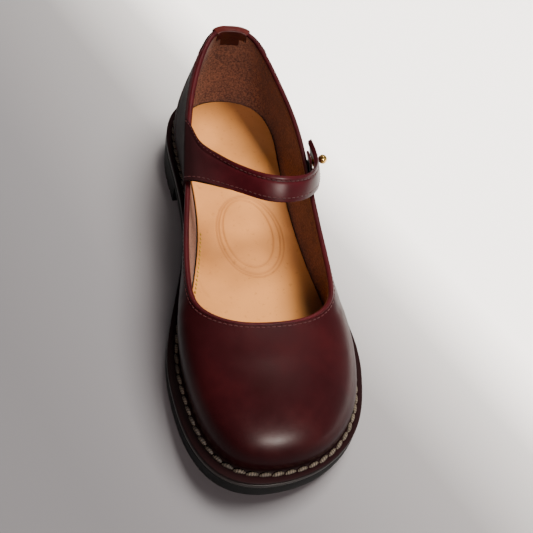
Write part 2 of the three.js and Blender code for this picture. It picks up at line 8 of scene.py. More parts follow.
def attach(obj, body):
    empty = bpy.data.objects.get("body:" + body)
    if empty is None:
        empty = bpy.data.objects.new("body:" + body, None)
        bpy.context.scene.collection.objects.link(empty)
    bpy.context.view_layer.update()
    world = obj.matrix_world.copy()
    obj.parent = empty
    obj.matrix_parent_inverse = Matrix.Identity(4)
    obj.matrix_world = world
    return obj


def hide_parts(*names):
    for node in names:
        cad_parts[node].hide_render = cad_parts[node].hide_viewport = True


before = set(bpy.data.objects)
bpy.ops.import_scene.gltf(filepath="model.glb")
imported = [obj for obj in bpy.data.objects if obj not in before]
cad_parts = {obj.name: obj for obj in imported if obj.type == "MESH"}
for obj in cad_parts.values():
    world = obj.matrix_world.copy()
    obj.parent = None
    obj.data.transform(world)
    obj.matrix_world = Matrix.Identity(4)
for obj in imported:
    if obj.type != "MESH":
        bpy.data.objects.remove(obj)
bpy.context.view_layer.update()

# ---- Outsole ----
# The tread, waist and heel in one moulding of dark grey rubber, cemented under the midsole. Its
# side wall is smooth and a little full, and the heel's edge is cut into teeth.
MM = 0.001
GAP = 0.3  # clearance between touching pieces, mm
SEAT_LAYER = 2.6  # thickness of the midsole over the rubber
SOLE_EASE = 1.0  # rounding of the rubber's edges
SIDE_BULGE = 0.35  # fullness of its side wall
HEEL_BREAST = -34  # Y of the heel's front corners
BREAST_HOLLOW, BREAST_HALF = 5, 50  # depth and half width of the hollow between them
LUG_DEPTH, GROOVE = 2.6, 3  # depth and width of the tread's grooves
TOOTH_PITCH, TOOTH_CUT = 9.5, 14  # spacing of the gaps in the heel's edge, length across it
RIM, CENTRE_BAR = 6, 9  # plain borders of the tread, round it and down its middle
GROOVE_ROWS = [-202, -190.5, -179, -167.5, -156, -144.5, -133, -121.5, -110, -20, -9, 9, 20]
SOLE_ROUND = 320  # stations round the sole's mesh
CLEAR = 60  # past every side of the sole, for cutters

# Levels along the shoe, in mm: y, the midsole's top, the tread.
LEVELS = np.array([
    (-231, 20.0, 8.2), (-215, 17.0, 4.8), (-195, 14.0, 1.5), (-172, 12.4, 0), (-140, 12.0, 0),
    (-110, 13.0, 0), (-80, 16.0, 4.5), (-50, 20.0, 10.5), (-22, 23.5, 15.0), (41, 27.0, 18.5),
])

# Foot of the upper's wall, toe first, down the medial side, round the heel and back up the
# lateral side: x, y, how far the sole stands out, flare in degrees, rise.
FEET = np.array([
    (-2, -223.4, 6.3, 9, 23), (-23, -218.2, 7.4, 10, 23), (-35.4, -199.4, 7.3, 9, 21),
    (-40.8, -175.6, 7.1, 7, 17), (-42, -149, 6.6, 5, 15), (-35, -112, 5.6, 7, 15),
    (-28.4, -72, 5, 14, 15), (-29.6, -32, 5.7, 10, 16), (-32.2, 2, 6.1, 6, 18),
    (-23, 26.6, 5.6, 7, 19), (0, 35, 5.2, 8, 20), (23, 26.6, 5.5, 7, 19), (32.6, 2, 5.6, 6, 18),
    (33.2, -32, 5.4, 8, 16), (35.8, -72, 5.2, 5, 15), (42.4, -113, 7.2, -3, 15),
    (48.6, -150, 7.2, -4, 16), (47.6, -176.3, 5.7, 1, 18), (39.4, -199.2, 5.4, 8, 21),
    (21.6, -217.2, 5, 10, 23),
])


def smooth(x):
    """Runs from 0 to 1 with level ends."""
    return x * x * (3 - 2 * x)


def level(column, y):
    """Smooth height along the shoe that never overshoots its rows."""
    ys, values = LEVELS[:, 0], LEVELS[:, column]
    slopes = np.diff(values) / np.diff(ys)
    before, after = slopes[:-1], slopes[1:]
    steady = before * after > 0
    inner = np.where(steady, 2 * before * after / np.where(steady, before + after, 1), 0)
    tangents = np.concatenate([slopes[:1], inner, slopes[-1:]])
    k = np.clip(np.searchsorted(ys, y, side="right") - 1, 0, len(ys) - 2)
    span = ys[k + 1] - ys[k]
    u = np.clip((y - ys[k]) / span, 0, 1)
    bend = u * (1 - u) * span * (tangents[k] * (1 - u) - tangents[k + 1] * u)
    return values[k] + (values[k + 1] - values[k]) * smooth(u) + bend


def seat(y):
    """Height of the midsole's top, which the upper and the insole sit on."""
    return level(1, y)


def tread(y):
    """Height of the rubber's underside."""
    return level(2, y)


def above_seat(height):
    """The level so many mm over the seat, along the shoe."""
    return lambda y: seat(y) + height


def flat_level(height):
    return lambda y: np.full_like(y, float(height))


def closed_spline(values):
    """Closed cubic spline through the values, as a function of t from 0 to 1."""
    values = np.asarray(values, float)
    count = len(values)
    controls = values.copy()
    for _ in range(40):
        carried = np.roll(controls, 1) + 4 * controls + np.roll(controls, -1)
        controls = controls + values - carried / 6

    def at(t):
        s = (np.asarray(t, float) % 1.0) * count
        i = np.floor(s).astype(int)
        u = s - i
        weights = ((1 - u) ** 3, 3 * u**3 - 6 * u**2 + 4, -3 * u**3 + 3 * u**2 + 3 * u + 1, u**3)
        return sum(w / 6 * controls[(i + k - 1) % count] for k, w in enumerate(weights))

    return at


foot_x, foot_y, flange_at, flare_at, rise_at = (closed_spline(column) for column in FEET.T)


def outward(x_at, y_at, t):
    """Outward direction in plan of a closed line, square to it."""
    h = 0.004
    dx = x_at(t + h) - x_at(t - h)
    dy = y_at(t + h) - y_at(t - h)
    size = np.hypot(dx, dy)
    return np.stack([-dy / size, dx / size, np.zeros_like(dx)], -1)


def foot_point(t, out):
    """A point of the sole's outline, `out` mm outside the foot of the wall."""
    foot = np.stack([foot_x(t), foot_y(t), np.zeros_like(t)], -1)
    return foot + np.asarray(out)[..., None] * outward(foot_x, foot_y, t)


def at_height(points, height):
    """The same points at height(y)."""
    points = points.copy()
    points[..., 2] = height(points[..., 1])
    return points


def lattice(shape, first=0):
    """Vertex numbers of a grid of points, from its first."""
    return first + np.arange(shape[0] * shape[1]).reshape(shape[:2])


def grid_faces(index, wrap_rows=False, wrap_columns=False):
    """Quads between the rows and columns of an array of vertex numbers."""
    if wrap_rows:
        index = np.concatenate([index, index[:1]])
    if wrap_columns:
        index = np.concatenate([index, index[:, :1]], axis=1)
    quads = np.stack([index[:-1, :-1], index[:-1, 1:], index[1:, 1:], index[1:, :-1]], -1)
    return quads.reshape(-1, 4).tolist()


def new_object(name, data):
    """Puts a mesh, a lamp or a camera in the scene."""
    made = bpy.data.objects.new(name, data)
    bpy.context.scene.collection.objects.link(made)
    return made


def new_mesh(name, points, faces):
    """A mesh object from points in mm, its doubles merged and its normals outwards."""
    mesh = bpy.data.meshes.new(name)
    mesh.from_pydata((np.asarray(points).reshape(-1, 3) * MM).tolist(), [], faces)
    piece = new_object(name, mesh)
    shell = bmesh.new()
    shell.from_mesh(mesh)
    bmesh.ops.remove_doubles(shell, verts=shell.verts, dist=1e-6)
    bmesh.ops.dissolve_degenerate(shell, edges=shell.edges, dist=1e-7)
    bmesh.ops.recalc_face_normals(shell, faces=shell.faces)
    shell.to_mesh(mesh)
    shell.free()
    mesh.shade_smooth()
    return piece


def eased_rows(edge, t, height, ease, turns=(0, 22.5, 45, 67.5, 90)):
    """Rings of a rounded edge, 0 on its flat and 90 on its side. A negative ease rounds it down."""
    rows = []
    for turn in np.radians(turns):
        ring = at_height(edge(t, abs(ease) * (1 - np.sin(turn))), height)
        rows.append(ring + [0, 0, ease * (1 - np.cos(turn))])
    return rows


def layer_mesh(name, edge, lower, upper, ease, bulge=0.0, across=16, stations=SOLE_ROUND):
    """A layer between two heights inside edge(t, inset), with rounded edges. Its top is a grid of
    `across` columns, its underside one of 8."""
    t = np.arange(stations) / stations
    rows = eased_rows(edge, t, lower, ease)
    for share in (0.25, 0.5, 0.75):
        ring = edge(t, -bulge * math.sin(math.pi * share))
        bottom = at_height(ring, lower)[..., 2] + ease
        ring[..., 2] = bottom + (at_height(ring, upper)[..., 2] - ease - bottom) * share
        rows.append(ring)
    rings = np.array(rows + eased_rows(edge, t, upper, -ease)[::-1])
    half = stations // 2
    parts = [rings.reshape(-1, 3)]
    faces = grid_faces(lattice(rings.shape), wrap_columns=True)
    for ring, height, columns in ((rings[0], lower, 8), (rings[-1], upper, across)):
        left = ring[: half + 1][:, None]
        right = ring[(-np.arange(half + 1)) % stations][:, None]
        steps = np.linspace(0, 1, columns + 1)[None, :, None]
        cap = at_height(left + (right - left) * steps, height)
        faces += grid_faces(lattice(cap.shape, sum(len(part) for part in parts)))
        parts.append(cap.reshape(-1, 3))
    return new_mesh(name, np.concatenate(parts), faces)


def block(name, size, place, turn=0.0):
    """A box cutter: size and place in mm, turned about Z."""
    ends = (-0.5, 0.5)
    corners = np.array([(a, b, c) for a in ends for b in ends for c in ends]) * size
    c, s = math.cos(turn), math.sin(turn)
    corners = corners @ np.array([[c, s, 0], [-s, c, 0], [0, 0, 1]]) + np.array(place)
    faces = [(0, 1, 3, 2), (4, 6, 7, 5), (0, 4, 5, 1), (2, 3, 7, 6), (0, 2, 6, 4), (1, 5, 7, 3)]
    return new_mesh(name, corners, faces)


def join(pieces):
    """One object from several."""
    whole = bmesh.new()
    for piece in pieces:
        whole.from_mesh(piece.data)
    for piece in pieces[1:]:
        bpy.data.objects.remove(piece)
    whole.to_mesh(pieces[0].data)
    whole.free()
    return pieces[0]


def freeze(piece):
    """Turns a piece and its modifiers into a plain mesh."""
    shown = piece.evaluated_get(bpy.context.evaluated_depsgraph_get())
    mesh = bpy.data.meshes.new_from_object(shown)
    piece.modifiers.clear()
    piece.data = mesh
    return piece


def combine(piece, other, operation):
    """Joins or cuts a piece with another, which is used up."""
    step = piece.modifiers.new(operation, "BOOLEAN")
    step.operation = operation
    step.object = other
    step.solver = "EXACT"
    freeze(piece)
    bpy.data.objects.remove(other)
    return piece


def sole_edge(t, inset):
    """The sole's outline, inset so many mm."""
    return foot_point(t, flange_at(t) - inset)


top = -SEAT_LAYER - GAP
outsole = layer_mesh("outsole_rubber", sole_edge, tread, above_seat(top), SOLE_EASE, bulge=SIDE_BULGE)
heel_lift = layer_mesh(
    "heel_lift", sole_edge, flat_level(0), above_seat(top - SOLE_EASE), SOLE_EASE, bulge=SIDE_BULGE
)
breast = [(-CLEAR, HEEL_BREAST), (-CLEAR, CLEAR), (CLEAR, CLEAR), (CLEAR, HEEL_BREAST)]
for x in np.linspace(BREAST_HALF, -BREAST_HALF, 11):
    breast.append((x, HEEL_BREAST + BREAST_HOLLOW * (1 - (x / BREAST_HALF) ** 2)))
plan = [(x, y, z) for z in (-5, CLEAR) for x, y in breast]
n = len(breast)
walls = [(i, (i + 1) % n, n + (i + 1) % n, n + i) for i in range(n)]
heel_area = new_mesh("heel_area", plan, walls + [tuple(range(n)), tuple(range(n, 2 * n))])
combine(heel_lift, heel_area, "INTERSECT")
combine(outsole, heel_lift, "UNION")

cutters = []
travelled = 0.0
stations = np.arange(0.3, 0.7, 0.0005)
edge_line = sole_edge(stations, 0.0)
for k in range(1, len(stations)):
    travelled += np.linalg.norm(edge_line[k] - edge_line[k - 1])
    if edge_line[k][1] < HEEL_BREAST + GROOVE or travelled < TOOTH_PITCH:
        continue
    travelled = 0.0
    away = outward(foot_x, foot_y, stations[k])
    turn = math.atan2(away[1], away[0])
    place = (edge_line[k][0], edge_line[k][1], 0)
    cutters.append(block("tooth_gap", (TOOTH_CUT, GROOVE, 2 * LUG_DEPTH), place, turn))
combine(outsole, join(cutters), "DIFFERENCE")
grooves = layer_mesh(
    "grooves",
    lambda t, inset: sole_edge(t, inset + RIM),
    flat_level(-LUG_DEPTH),
    lambda y: np.where(y > HEEL_BREAST, 0, tread(y)) + LUG_DEPTH,
    0.05,
)
bars = join([block("bar", (2 * CLEAR, GROOVE, CLEAR), (0, y, 0)) for y in GROOVE_ROWS])
combine(bars, block("centre_bar", (CENTRE_BAR, 9 * CLEAR, CLEAR), (2, 0, 0)), "DIFFERENCE")
combine(grooves, bars, "INTERSECT")
combine(outsole, grooves, "DIFFERENCE")
outsole.data.shade_smooth()
outsole.data.set_sharp_from_angle(angle=math.radians(32))


def linear(colour):
    """An sRGB hex colour as linear RGBA."""
    channels = [int(colour[k : k + 2], 16) / 255 for k in (0, 2, 4)]
    return [c / 12.92 if c <= 0.04045 else ((c + 0.055) / 1.055) ** 2.4 for c in channels] + [1.0]


def set_inputs(tree, node, inputs):
    """Gives a node its inputs: values, sockets, or nodes whose first output is meant."""
    for socket, value in inputs.items():
        if isinstance(value, bpy.types.Node):
            value = value.outputs[0]
        if isinstance(value, bpy.types.NodeSocket):
            tree.links.new(value, node.inputs[socket])
        else:
            node.inputs[socket].default_value = value


def add_node(tree, kind, inputs=None, stops=(), **settings):
    """Adds a node with its settings and inputs, and the stops of its colour ramp."""
    node = tree.nodes.new(kind)
    for name, value in settings.items():
        setattr(node, name, value)
    set_inputs(tree, node, inputs or {})
    if stops:
        elements = node.color_ramp.elements
        elements[0].position, elements[1].position = stops[0][0], stops[-1][0]
        for position, _ in stops[1:-1]:
            elements.new(position)
        for element, (_, colour) in zip(elements, stops):
            element.color = linear(colour)
    return node


def new_material(name):
    """A material's tree and shader, and Object coordinates to draw patterns on."""
    material = bpy.data.materials.new(name)
    material.use_nodes = True
    tree = material.node_tree
    tree.nodes.clear()
    shader = add_node(tree, "ShaderNodeBsdfPrincipled")
    add_node(tree, "ShaderNodeOutputMaterial", {"Surface": shader})
    return material, tree, shader, add_node(tree, "ShaderNodeTexCoord").outputs["Object"]


def finish_piece(piece, material, slot, *nodes):
    """Gives a piece its material, its body and the CAD nodes it stands for. slot is not used."""
    piece.data.materials.clear()
    piece.data.materials.append(material)
    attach(piece, "root")
    if nodes:
        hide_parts(*nodes)


# Moulded styrene rubber, buffed at the side wall: matt, dark grey, slightly green, with a fine
# mould grain and paler rubbed patches.
rubber, tree, shader, place = new_material("moulded_rubber")
cloud = add_node(tree, "ShaderNodeTexNoise", {"Vector": place, "Scale": 45.0, "Detail": 4.0})
tone = add_node(tree, "ShaderNodeValToRGB", {"Fac": cloud}, stops=[(0.35, "08090a"), (0.7, "121414")])
grit = add_node(tree, "ShaderNodeTexNoise", {"Vector": place, "Scale": 2200.0, "Detail": 3.0})
dents = add_node(tree, "ShaderNodeBump", {"Height": grit, "Distance": 0.00012, "Strength": 0.5})
rough = add_node(tree, "ShaderNodeMapRange", {"Value": cloud, "To Min": 0.6, "To Max": 0.75})
looks = {"Base Color": tone, "Roughness": rough, "Normal": dents, "Specular IOR Level": 0.2}
set_inputs(tree, shader, looks)
finish_piece(outsole, rubber, "rubber", "outsole")

# ---- Midsole ----
# A 2.6 mm layer of dark leather between flange and rubber, which the flange is sewn to. Its cut
# edge is trimmed flush with the rubber, waxed and burnished.
MIDSOLE_EASE = 0.45
midsole = layer_mesh(
    "midsole_leather", sole_edge, above_seat(-SEAT_LAYER), seat, MIDSOLE_EASE, bulge=0.12
)
# Burnished vegetable-tanned edge: dark brown with fibre lines along the cut, half gloss.
edge_leather, tree, shader, place = new_material("burnished_leather_edge")
stretched = add_node(tree, "ShaderNodeMapping", {"Vector": place, "Scale": (1, 1, 12)})
fibre = add_node(tree, "ShaderNodeTexNoise", {"Vector": stretched, "Scale": 180.0, "Detail": 5.0})
tone = add_node(tree, "ShaderNodeValToRGB", {"Fac": fibre}, stops=[(0.3, "110f0e"), (0.75, "2c2521")])
dents = add_node(tree, "ShaderNodeBump", {"Height": fibre, "Distance": 0.0002, "Strength": 0.5})
set_inputs(tree, shader, {"Base Color": tone, "Normal": dents, "Roughness": 0.45})
finish_piece(midsole, edge_leather, "midsole_leather", "midsole")

# ---- Insole ----
# The full-length insole that the foot stands on, of undyed vegetable-tanned leather 3.4 mm
# thick, cut to the inside of the walls and cemented down. Oval rings are pressed in its waist.
INSOLE_LAYER = 3.4
INSOLE_EASE = 0.7
WALL = 2.4  # thickness of the upper's wall, which the insole is cut to
OVALS = [(5.5, -76.0, 19.6, 28.6), (5.2, -75.6, 17.9, 26.9), (4.4, -74.2, 14.6, 23.6)]
OVAL_TURN = math.radians(7)
OVAL_HALF, OVAL_DEPTH = 0.55, 0.5  # half width and depth of each pressed line
SCRATCH = (-4.0, -103.0, 24.0, 0.12)  # middle, radius, depth


def insole_edge(t, inset):
    """The insole's outline, inset so many mm."""
    return foot_point(t, -WALL - 2 * GAP - inset)


def mesh_points(piece):
    """A piece's points in mm."""
    return np.array([vertex.co for vertex in piece.data.vertices]) / MM


def mark(piece, name, values):
    """Stores a value at each point of a piece, for its material."""
    piece.data.attributes.new(name, "FLOAT", "POINT").data.foreach_set("value", values)


insole = layer_mesh(
    "insole_leather",
    insole_edge,
    above_seat(GAP),
    above_seat(GAP + INSOLE_LAYER),
    INSOLE_EASE,
    across=150,
    stations=900,
)
points = mesh_points(insole)
top = points[:, 2] > seat(points[:, 1]) + GAP + INSOLE_LAYER - 0.2
dip = np.zeros(len(points))
for x, y, half_width, half_length in OVALS:
    c, s = math.cos(OVAL_TURN), math.sin(OVAL_TURN)
    right = (points[:, 0] - x) * c + (points[:, 1] - y) * s
    forward = (points[:, 1] - y) * c - (points[:, 0] - x) * s
    reach = np.hypot(right / half_width, forward / half_length)
    away = (reach - 1) * np.hypot(right, forward) / np.maximum(reach, 0.01)
    dip += OVAL_DEPTH * np.exp(-((away / OVAL_HALF) ** 2))
# A short bow-shaped scratch, left by a tool.
x, y, bow, depth = SCRATCH
off_bow = np.hypot(points[:, 0] - x, points[:, 1] - y) - bow
scratched = (points[:, 0] < -19) * (points[:, 1] < -104) * (points[:, 1] > -118)
dip += depth * np.exp(-((off_bow / 0.5) ** 2)) * scratched
# How deep each point of the top is pressed, which the material uses to paint shade in the rings and the
# scratch.
mark(insole, "pressed", np.where(top, np.clip(dip / OVAL_DEPTH, 0, 1), 0))
# The foot's bed: a shallow cup under the heel and a hollow under the ball.
for x, y, half_width, half_length, depth in ((2, -2, 17, 24, 0.7), (2, -150, 26, 40, 0.3)):
    spread = ((points[:, 0] - x) / half_width) ** 2 + ((points[:, 1] - y) / half_length) ** 2
    dip += depth * np.exp(-spread)
points[:, 2] -= np.where(top, dip, 0)
insole.data.vertices.foreach_set("co", (points * MM).ravel())
insole.data.update()
# Natural vegetable-tanned leather: pale peach tan, matt, darker in patches where oil and handling
# have coloured it, with specks, and pores drawn 0.9 mm apart so that they show.
veg_tan, tree, shader, place = new_material("natural_veg_tan")
cloud = add_node(tree, "ShaderNodeTexNoise", {"Vector": place, "Scale": 26.0, "Detail": 5.0})
tone = add_node(tree, "ShaderNodeValToRGB", {"Fac": cloud}, stops=[(0.3, "93602f"), (0.62, "ac733c")])
fleck = add_node(tree, "ShaderNodeTexNoise", {"Vector": place, "Scale": 420.0, "Detail": 2.0})
specks = add_node(
    tree,
    "ShaderNodeMapRange",
    {"Value": fleck, "From Min": 0.62, "From Max": 0.74, "To Max": 0.35},
)
# The pressed rings and the scratch are painted darker: painted shade in their hollows.
pressed = add_node(tree, "ShaderNodeAttribute", attribute_name="pressed").outputs["Fac"]
pressed_shade = add_node(tree, "ShaderNodeMath", {0: pressed, 1: 0.45}, operation="MULTIPLY")
for share, colour in ((specks, "74491f"), (pressed_shade, "6e3f1c")):
    layers = {"Fac": share, "Color1": tone, "Color2": linear(colour)}
    tone = add_node(tree, "ShaderNodeMixRGB", layers)
pores = add_node(tree, "ShaderNodeTexVoronoi", {"Vector": place, "Scale": 1100.0})
pits = add_node(tree, "ShaderNodeMapRange", {"Value": pores, "From Max": 0.35})
dents = add_node(tree, "ShaderNodeBump", {"Height": pits, "Distance": 0.00008, "Strength": 0.4})
set_inputs(tree, shader, {"Base Color": tone, "Normal": dents, "Roughness": 0.62})
finish_piece(insole, veg_tan, "insole_leather", "insole")

# ---- Upper ----
# Vamp and quarters of smooth waxed oxblood leather, shaped on the last. Their foot is turned
# outwards as a flange and sewn down through the midsole; the top edge carries a binding.
FLANGE = 2.0
LEATHER = 1.25  # the outer leather of the wall, over its lining
UPPER_ROUND = 400
UNDER_EASE, FLANGE_EASE = 0.5, 0.7  # rounding of its edge below and above
GROOVE_OUT = 1.9  # middle of the stitch groove, outside the foot of the wall
GROOVE_HALF, GROOVE_DEEP = 1.2, 0.8
BURNISH_RISE = 2.2  # over which the burnish fades out up the wall

# Topline of the same stations: x, y, z, drop in degrees, reach.
TOPLINES = np.array([
    (-2, -159.8, 53, 8, 40), (-16, -158.6, 53, 11, 38), (-28, -154.2, 53, 21, 29),
    (-36.6, -146.3, 53.2, 42, 19), (-39.6, -131, 54, 62, 14), (-38.4, -102, 55.5, 84, 14),
    (-34.8, -68, 59, 92, 14), (-31.4, -32, 66, 85, 16), (-24.6, 2, 75, 78, 17),
    (-12.6, 30.8, 82.8, 81, 17), (0, 35, 85.2, 85, 20), (14.4, 30.6, 82.6, 81, 17),
    (26, 2, 75, 79, 17), (34.4, -31, 66, 86, 16), (36.6, -67, 59, 88, 14),
    (36.8, -102, 55, 74, 14), (36.4, -131, 54, 61, 16), (33, -147, 53.2, 40, 21),
    (24, -155.4, 53, 21, 30), (12, -158.9, 53, 11, 38),
])
top_x, top_y, top_z, drop_at, reach_at = (closed_spline(column) for column in TOPLINES.T)


def wall_point(t, v):
    """Outer face of the wall: v runs from 0 at its foot to 1 at the topline."""
    t, v = np.broadcast_arrays(np.asarray(t, float), np.asarray(v, float))
    foot = at_height(foot_point(t, 0.0), lambda y: seat(y) + GAP + FLANGE)
    top = np.stack([top_x(t), top_y(t), top_z(t)], -1)
    flare, drop = np.radians(flare_at(t))[..., None], np.radians(drop_at(t))[..., None]
    up = np.array([0, 0, 1.0])
    rise, reach = rise_at(t)[..., None], reach_at(t)[..., None]
    lower = foot + rise * (outward(foot_x, foot_y, t) * np.sin(flare) + up * np.cos(flare))
    upper = top + reach * (outward(top_x, top_y, t) * np.cos(drop) - up * np.sin(drop))
    v = v[..., None]
    u = 1 - v
    return u**3 * foot + 3 * v * u**2 * lower + 3 * v**2 * u * upper + v**3 * top


def unit(vectors):
    """The same directions at length 1."""
    return vectors / np.linalg.norm(vectors, axis=-1, keepdims=True)


def wall_normal(t, v):
    """Outward direction of the wall."""
    h = 0.003
    along_t = wall_point(t + h, v) - wall_point(t - h, v)
    along_v = wall_point(t, np.minimum(v + h, 1)) - wall_point(t, np.maximum(v - h, 0))
    return unit(np.cross(along_v, along_t))


def wall(t, v, grow=0.0):
    """The same face moved `grow` mm along its own normal."""
    t, v = np.broadcast_arrays(np.asarray(t, float), np.asarray(v, float))
    return wall_point(t, v) + np.asarray(grow)[..., None] * wall_normal(t, v)


# Soft creases and hollows of the lasted leather: middle in mm, radii along X, Y and Z, depth.
# A negative depth is a fullness.
HOLLOWS = [
    ((-1, -176, 50), (26, 7, 14), 0.5),
    ((0, -196, 45), (30, 10, 12), -0.5),
    ((-38, -118, 40), (12, 16, 12), 0.7),
    ((-36, -96, 44), (12, 9, 16), -0.5),
    ((42, -122, 40), (10, 18, 14), 0.6),
    ((40, -98, 42), (10, 10, 16), -0.4),
    ((38, -60, 44), (9, 14, 12), 0.5),
    ((34, -20, 52), (9, 12, 14), -0.4),
]
# Creases that cross the vamp where it bends: ends in plan, half width, depth.
CREASES = [
    ((-40, -150), (-18, -163), 2.6, 0.22),
    ((38, -152), (16, -164), 2.8, 0.2),
    ((-42, -140), (-36, -150), 2.0, 0.2),
    ((44, -138), (38, -150), 2.2, 0.22),
]


def relief(points):
    """Depth of the hollows and creases at points on the wall."""
    depth = np.zeros(points.shape[:-1])
    for middle, radii, amount in HOLLOWS:
        away = ((points - middle) / radii) ** 2
        depth += amount * np.exp(-away.sum(-1))
    for start, end, half_width, amount in CREASES:
        start, end = np.array(start, float), np.array(end, float)
        along = (points[..., :2] - start) @ (end - start) / ((end - start) @ (end - start))
        nearest = start + np.clip(along, 0, 1)[..., None] * (end - start)
        away = np.linalg.norm(points[..., :2] - nearest, axis=-1)
        depth += amount * np.exp(-((away / half_width) ** 2))
    return depth


def lasted_row(t, v, grow, share=1.0):
    """A row of the wall with its hollows, which fade out at the foot and the topline."""
    ring = wall(t, v, grow)
    fade = math.sin(math.pi * min(v * 3, 0.5)) * min(1.0, (1 - v) * 6)
    return ring - wall_normal(t, v) * (relief(ring) * fade * share)[:, None]


def tube_mesh(name, rings):
    """A mesh from rings of points, closed both ways."""
    faces = grid_faces(lattice(rings.shape), wrap_rows=True, wrap_columns=True)
    return new_mesh(name, rings, faces)


under, over = above_seat(GAP), above_seat(GAP + FLANGE)
t = np.arange(UPPER_ROUND) / UPPER_ROUND
rows = [at_height(foot_point(t, -LEATHER), under)]
rows += eased_rows(sole_edge, t, under, UNDER_EASE, (0, 30, 60, 90))
rows += eased_rows(sole_edge, t, over, -FLANGE_EASE, (90, 65, 40, 15, 0))
for share in (0.9, 0.8, 0.7, 0.6, 0.5, 0.4, 0.32, 0.25, 0.18):
    out = share * (flange_at(t) - FLANGE_EASE)
    groove = GROOVE_DEEP * np.exp(-(((out - GROOVE_OUT) / GROOVE_HALF) ** 2))
    rows.append(at_height(foot_point(t, out), over) - groove[:, None] * [0, 0, 1])
for v in np.concatenate([[0.012, 0.03, 0.05], np.linspace(0.07, 1.0, 62)]):
    rows.append(lasted_row(t, v, 0.0))
rows.append(wall(t, 1.0, -0.4) + [0, 0, 0.35])
for v in np.concatenate([[1.0], np.linspace(0.95, 0.07, 24), [0.03]]):
    rows.append(wall(t, v, -LEATHER))
upper = tube_mesh("upper_leather", np.array(rows))
# How much of each point is burnished: all of the flange, fading out up the wall.
places = mesh_points(upper)
above = places[:, 2] - over(places[:, 1])
mark(upper, "burnish_and_shade", np.clip(1 - (above - 0.2) / BURNISH_RISE, 0, 1))


def waxed_leather(name, dark, middle, light):
    """Smooth full-grain leather, drum-dyed and hand-waxed: deep red-brown, darker in broad patches,
    with a soft wax sheen and a fine tight grain. Where it is marked it is darker and duller: burnish
    on a flange, and painted shade on a shaded side."""
    material, tree, shader, place = new_material(name)
    broad, mottle, folds, waves = (
        add_node(tree, "ShaderNodeTexNoise", {"Vector": place, "Scale": scale, "Detail": detail})
        for scale, detail in ((22.0, 4.0), (140.0, 6.0), (380.0, 5.0), (60.0, 2.0))
    )
    patches = {0: mottle, 1: 0.35, 2: broad}
    blend = add_node(tree, "ShaderNodeMath", patches, operation="MULTIPLY_ADD")
    stops = [(0.48, dark), (0.66, middle), (0.9, light)]
    tone = add_node(tree, "ShaderNodeValToRGB", {"Fac": blend}, stops=stops)
    burnish_and_shade_share = add_node(tree, "ShaderNodeAttribute", attribute_name="burnish_and_shade").outputs["Fac"]
    # The marked share turns one darker colour: real burnish on the flange, painted shade on the medial
    # side of the counter and the strap.
    layers = {"Fac": burnish_and_shade_share, "Color1": tone, "Color2": linear("130708")}
    darkened = add_node(tree, "ShaderNodeMixRGB", layers)
    # Grain cells are drawn 0.7 mm across, a little coarse, so that they show.
    cells = {"Vector": place, "Scale": 1500.0, "Smoothness": 0.6}
    cells = add_node(tree, "ShaderNodeTexVoronoi", cells, feature="SMOOTH_F1")
    height = {0: folds, 1: 1.4, 2: cells}
    height = add_node(tree, "ShaderNodeMath", height, operation="MULTIPLY_ADD")
    grain = {"Height": height, "Distance": 0.00005, "Strength": 0.35}
    grain = add_node(tree, "ShaderNodeBump", grain)
    surface = {"Height": waves, "Distance": 0.0006, "Strength": 0.15, "Normal": grain}
    surface = add_node(tree, "ShaderNodeBump", surface)
    polish = {"Value": mottle, "From Min": 0.3, "From Max": 0.7, "To Min": 0.31, "To Max": 0.39}
    polish = add_node(tree, "ShaderNodeMapRange", polish)
    dulled = {0: burnish_and_shade_share, 1: 0.4, 2: polish}
    dulled = add_node(tree, "ShaderNodeMath", dulled, operation="MULTIPLY_ADD")
    looks = {"Base Color": darkened, "Normal": surface, "Roughness": dulled}
    looks |= {"IOR": 1.4, "Specular IOR Level": 0.17, "Coat Weight": 0.02, "Coat Roughness": 0.3}
    set_inputs(tree, shader, looks)
    return material


oxblood = waxed_leather("waxed_oxblood_leather", "190506", "1d0608", "25080a")
finish_piece(upper, oxblood, "upper_leather", "upper")

# ---- Lining ----
# Brown suede inside the walls, flesh side out, cemented to the leather and sewn with it along the
# topline. It runs down to the insole and is napped, with paler brushed patches at the heel.
LINING_ROUND = 320
t = np.arange(LINING_ROUND) / LINING_ROUND
rows = []
for v in np.concatenate([np.linspace(0.0, 0.95, 30), [0.985]]):
    rows.append(wall(t, v, -LEATHER - 0.08))
rows.append(wall(t, 1.0, -LEATHER - 0.35))
for v in np.concatenate([[0.985], np.linspace(0.95, 0.0, 56)]):
    rows.append(lasted_row(t, v, -WALL, 0.7))
lining = tube_mesh("lining_suede", np.array(rows))
# Suede: matt brown split with a short nap. Broad brushed patches, and flecks where the nap lies
# the other way, drawn 1 mm coarse so that they show.
suede, tree, shader, place = new_material("napped_brown_suede")
brushed = add_node(tree, "ShaderNodeTexNoise", {"Vector": place, "Scale": 55.0, "Detail": 4.0})
nap = add_node(tree, "ShaderNodeTexNoise", {"Vector": place, "Scale": 900.0, "Detail": 3.0})
patches = {0: brushed, 1: 0.3, 2: nap}
blend = add_node(tree, "ShaderNodeMath", patches, operation="MULTIPLY_ADD")
tone = add_node(tree, "ShaderNodeValToRGB", {"Fac": blend}, stops=[(0.46, "3c2118"), (0.84, "7a4d36")])
dents = add_node(tree, "ShaderNodeBump", {"Height": nap, "Distance": 0.0004, "Strength": 0.6})
looks = {"Base Color": tone, "Normal": dents, "Roughness": 0.92}
set_inputs(tree, shader, looks | {"Sheen Weight": 0.05, "Sheen Roughness": 0.5})
finish_piece(lining, suede, "lining_leather")

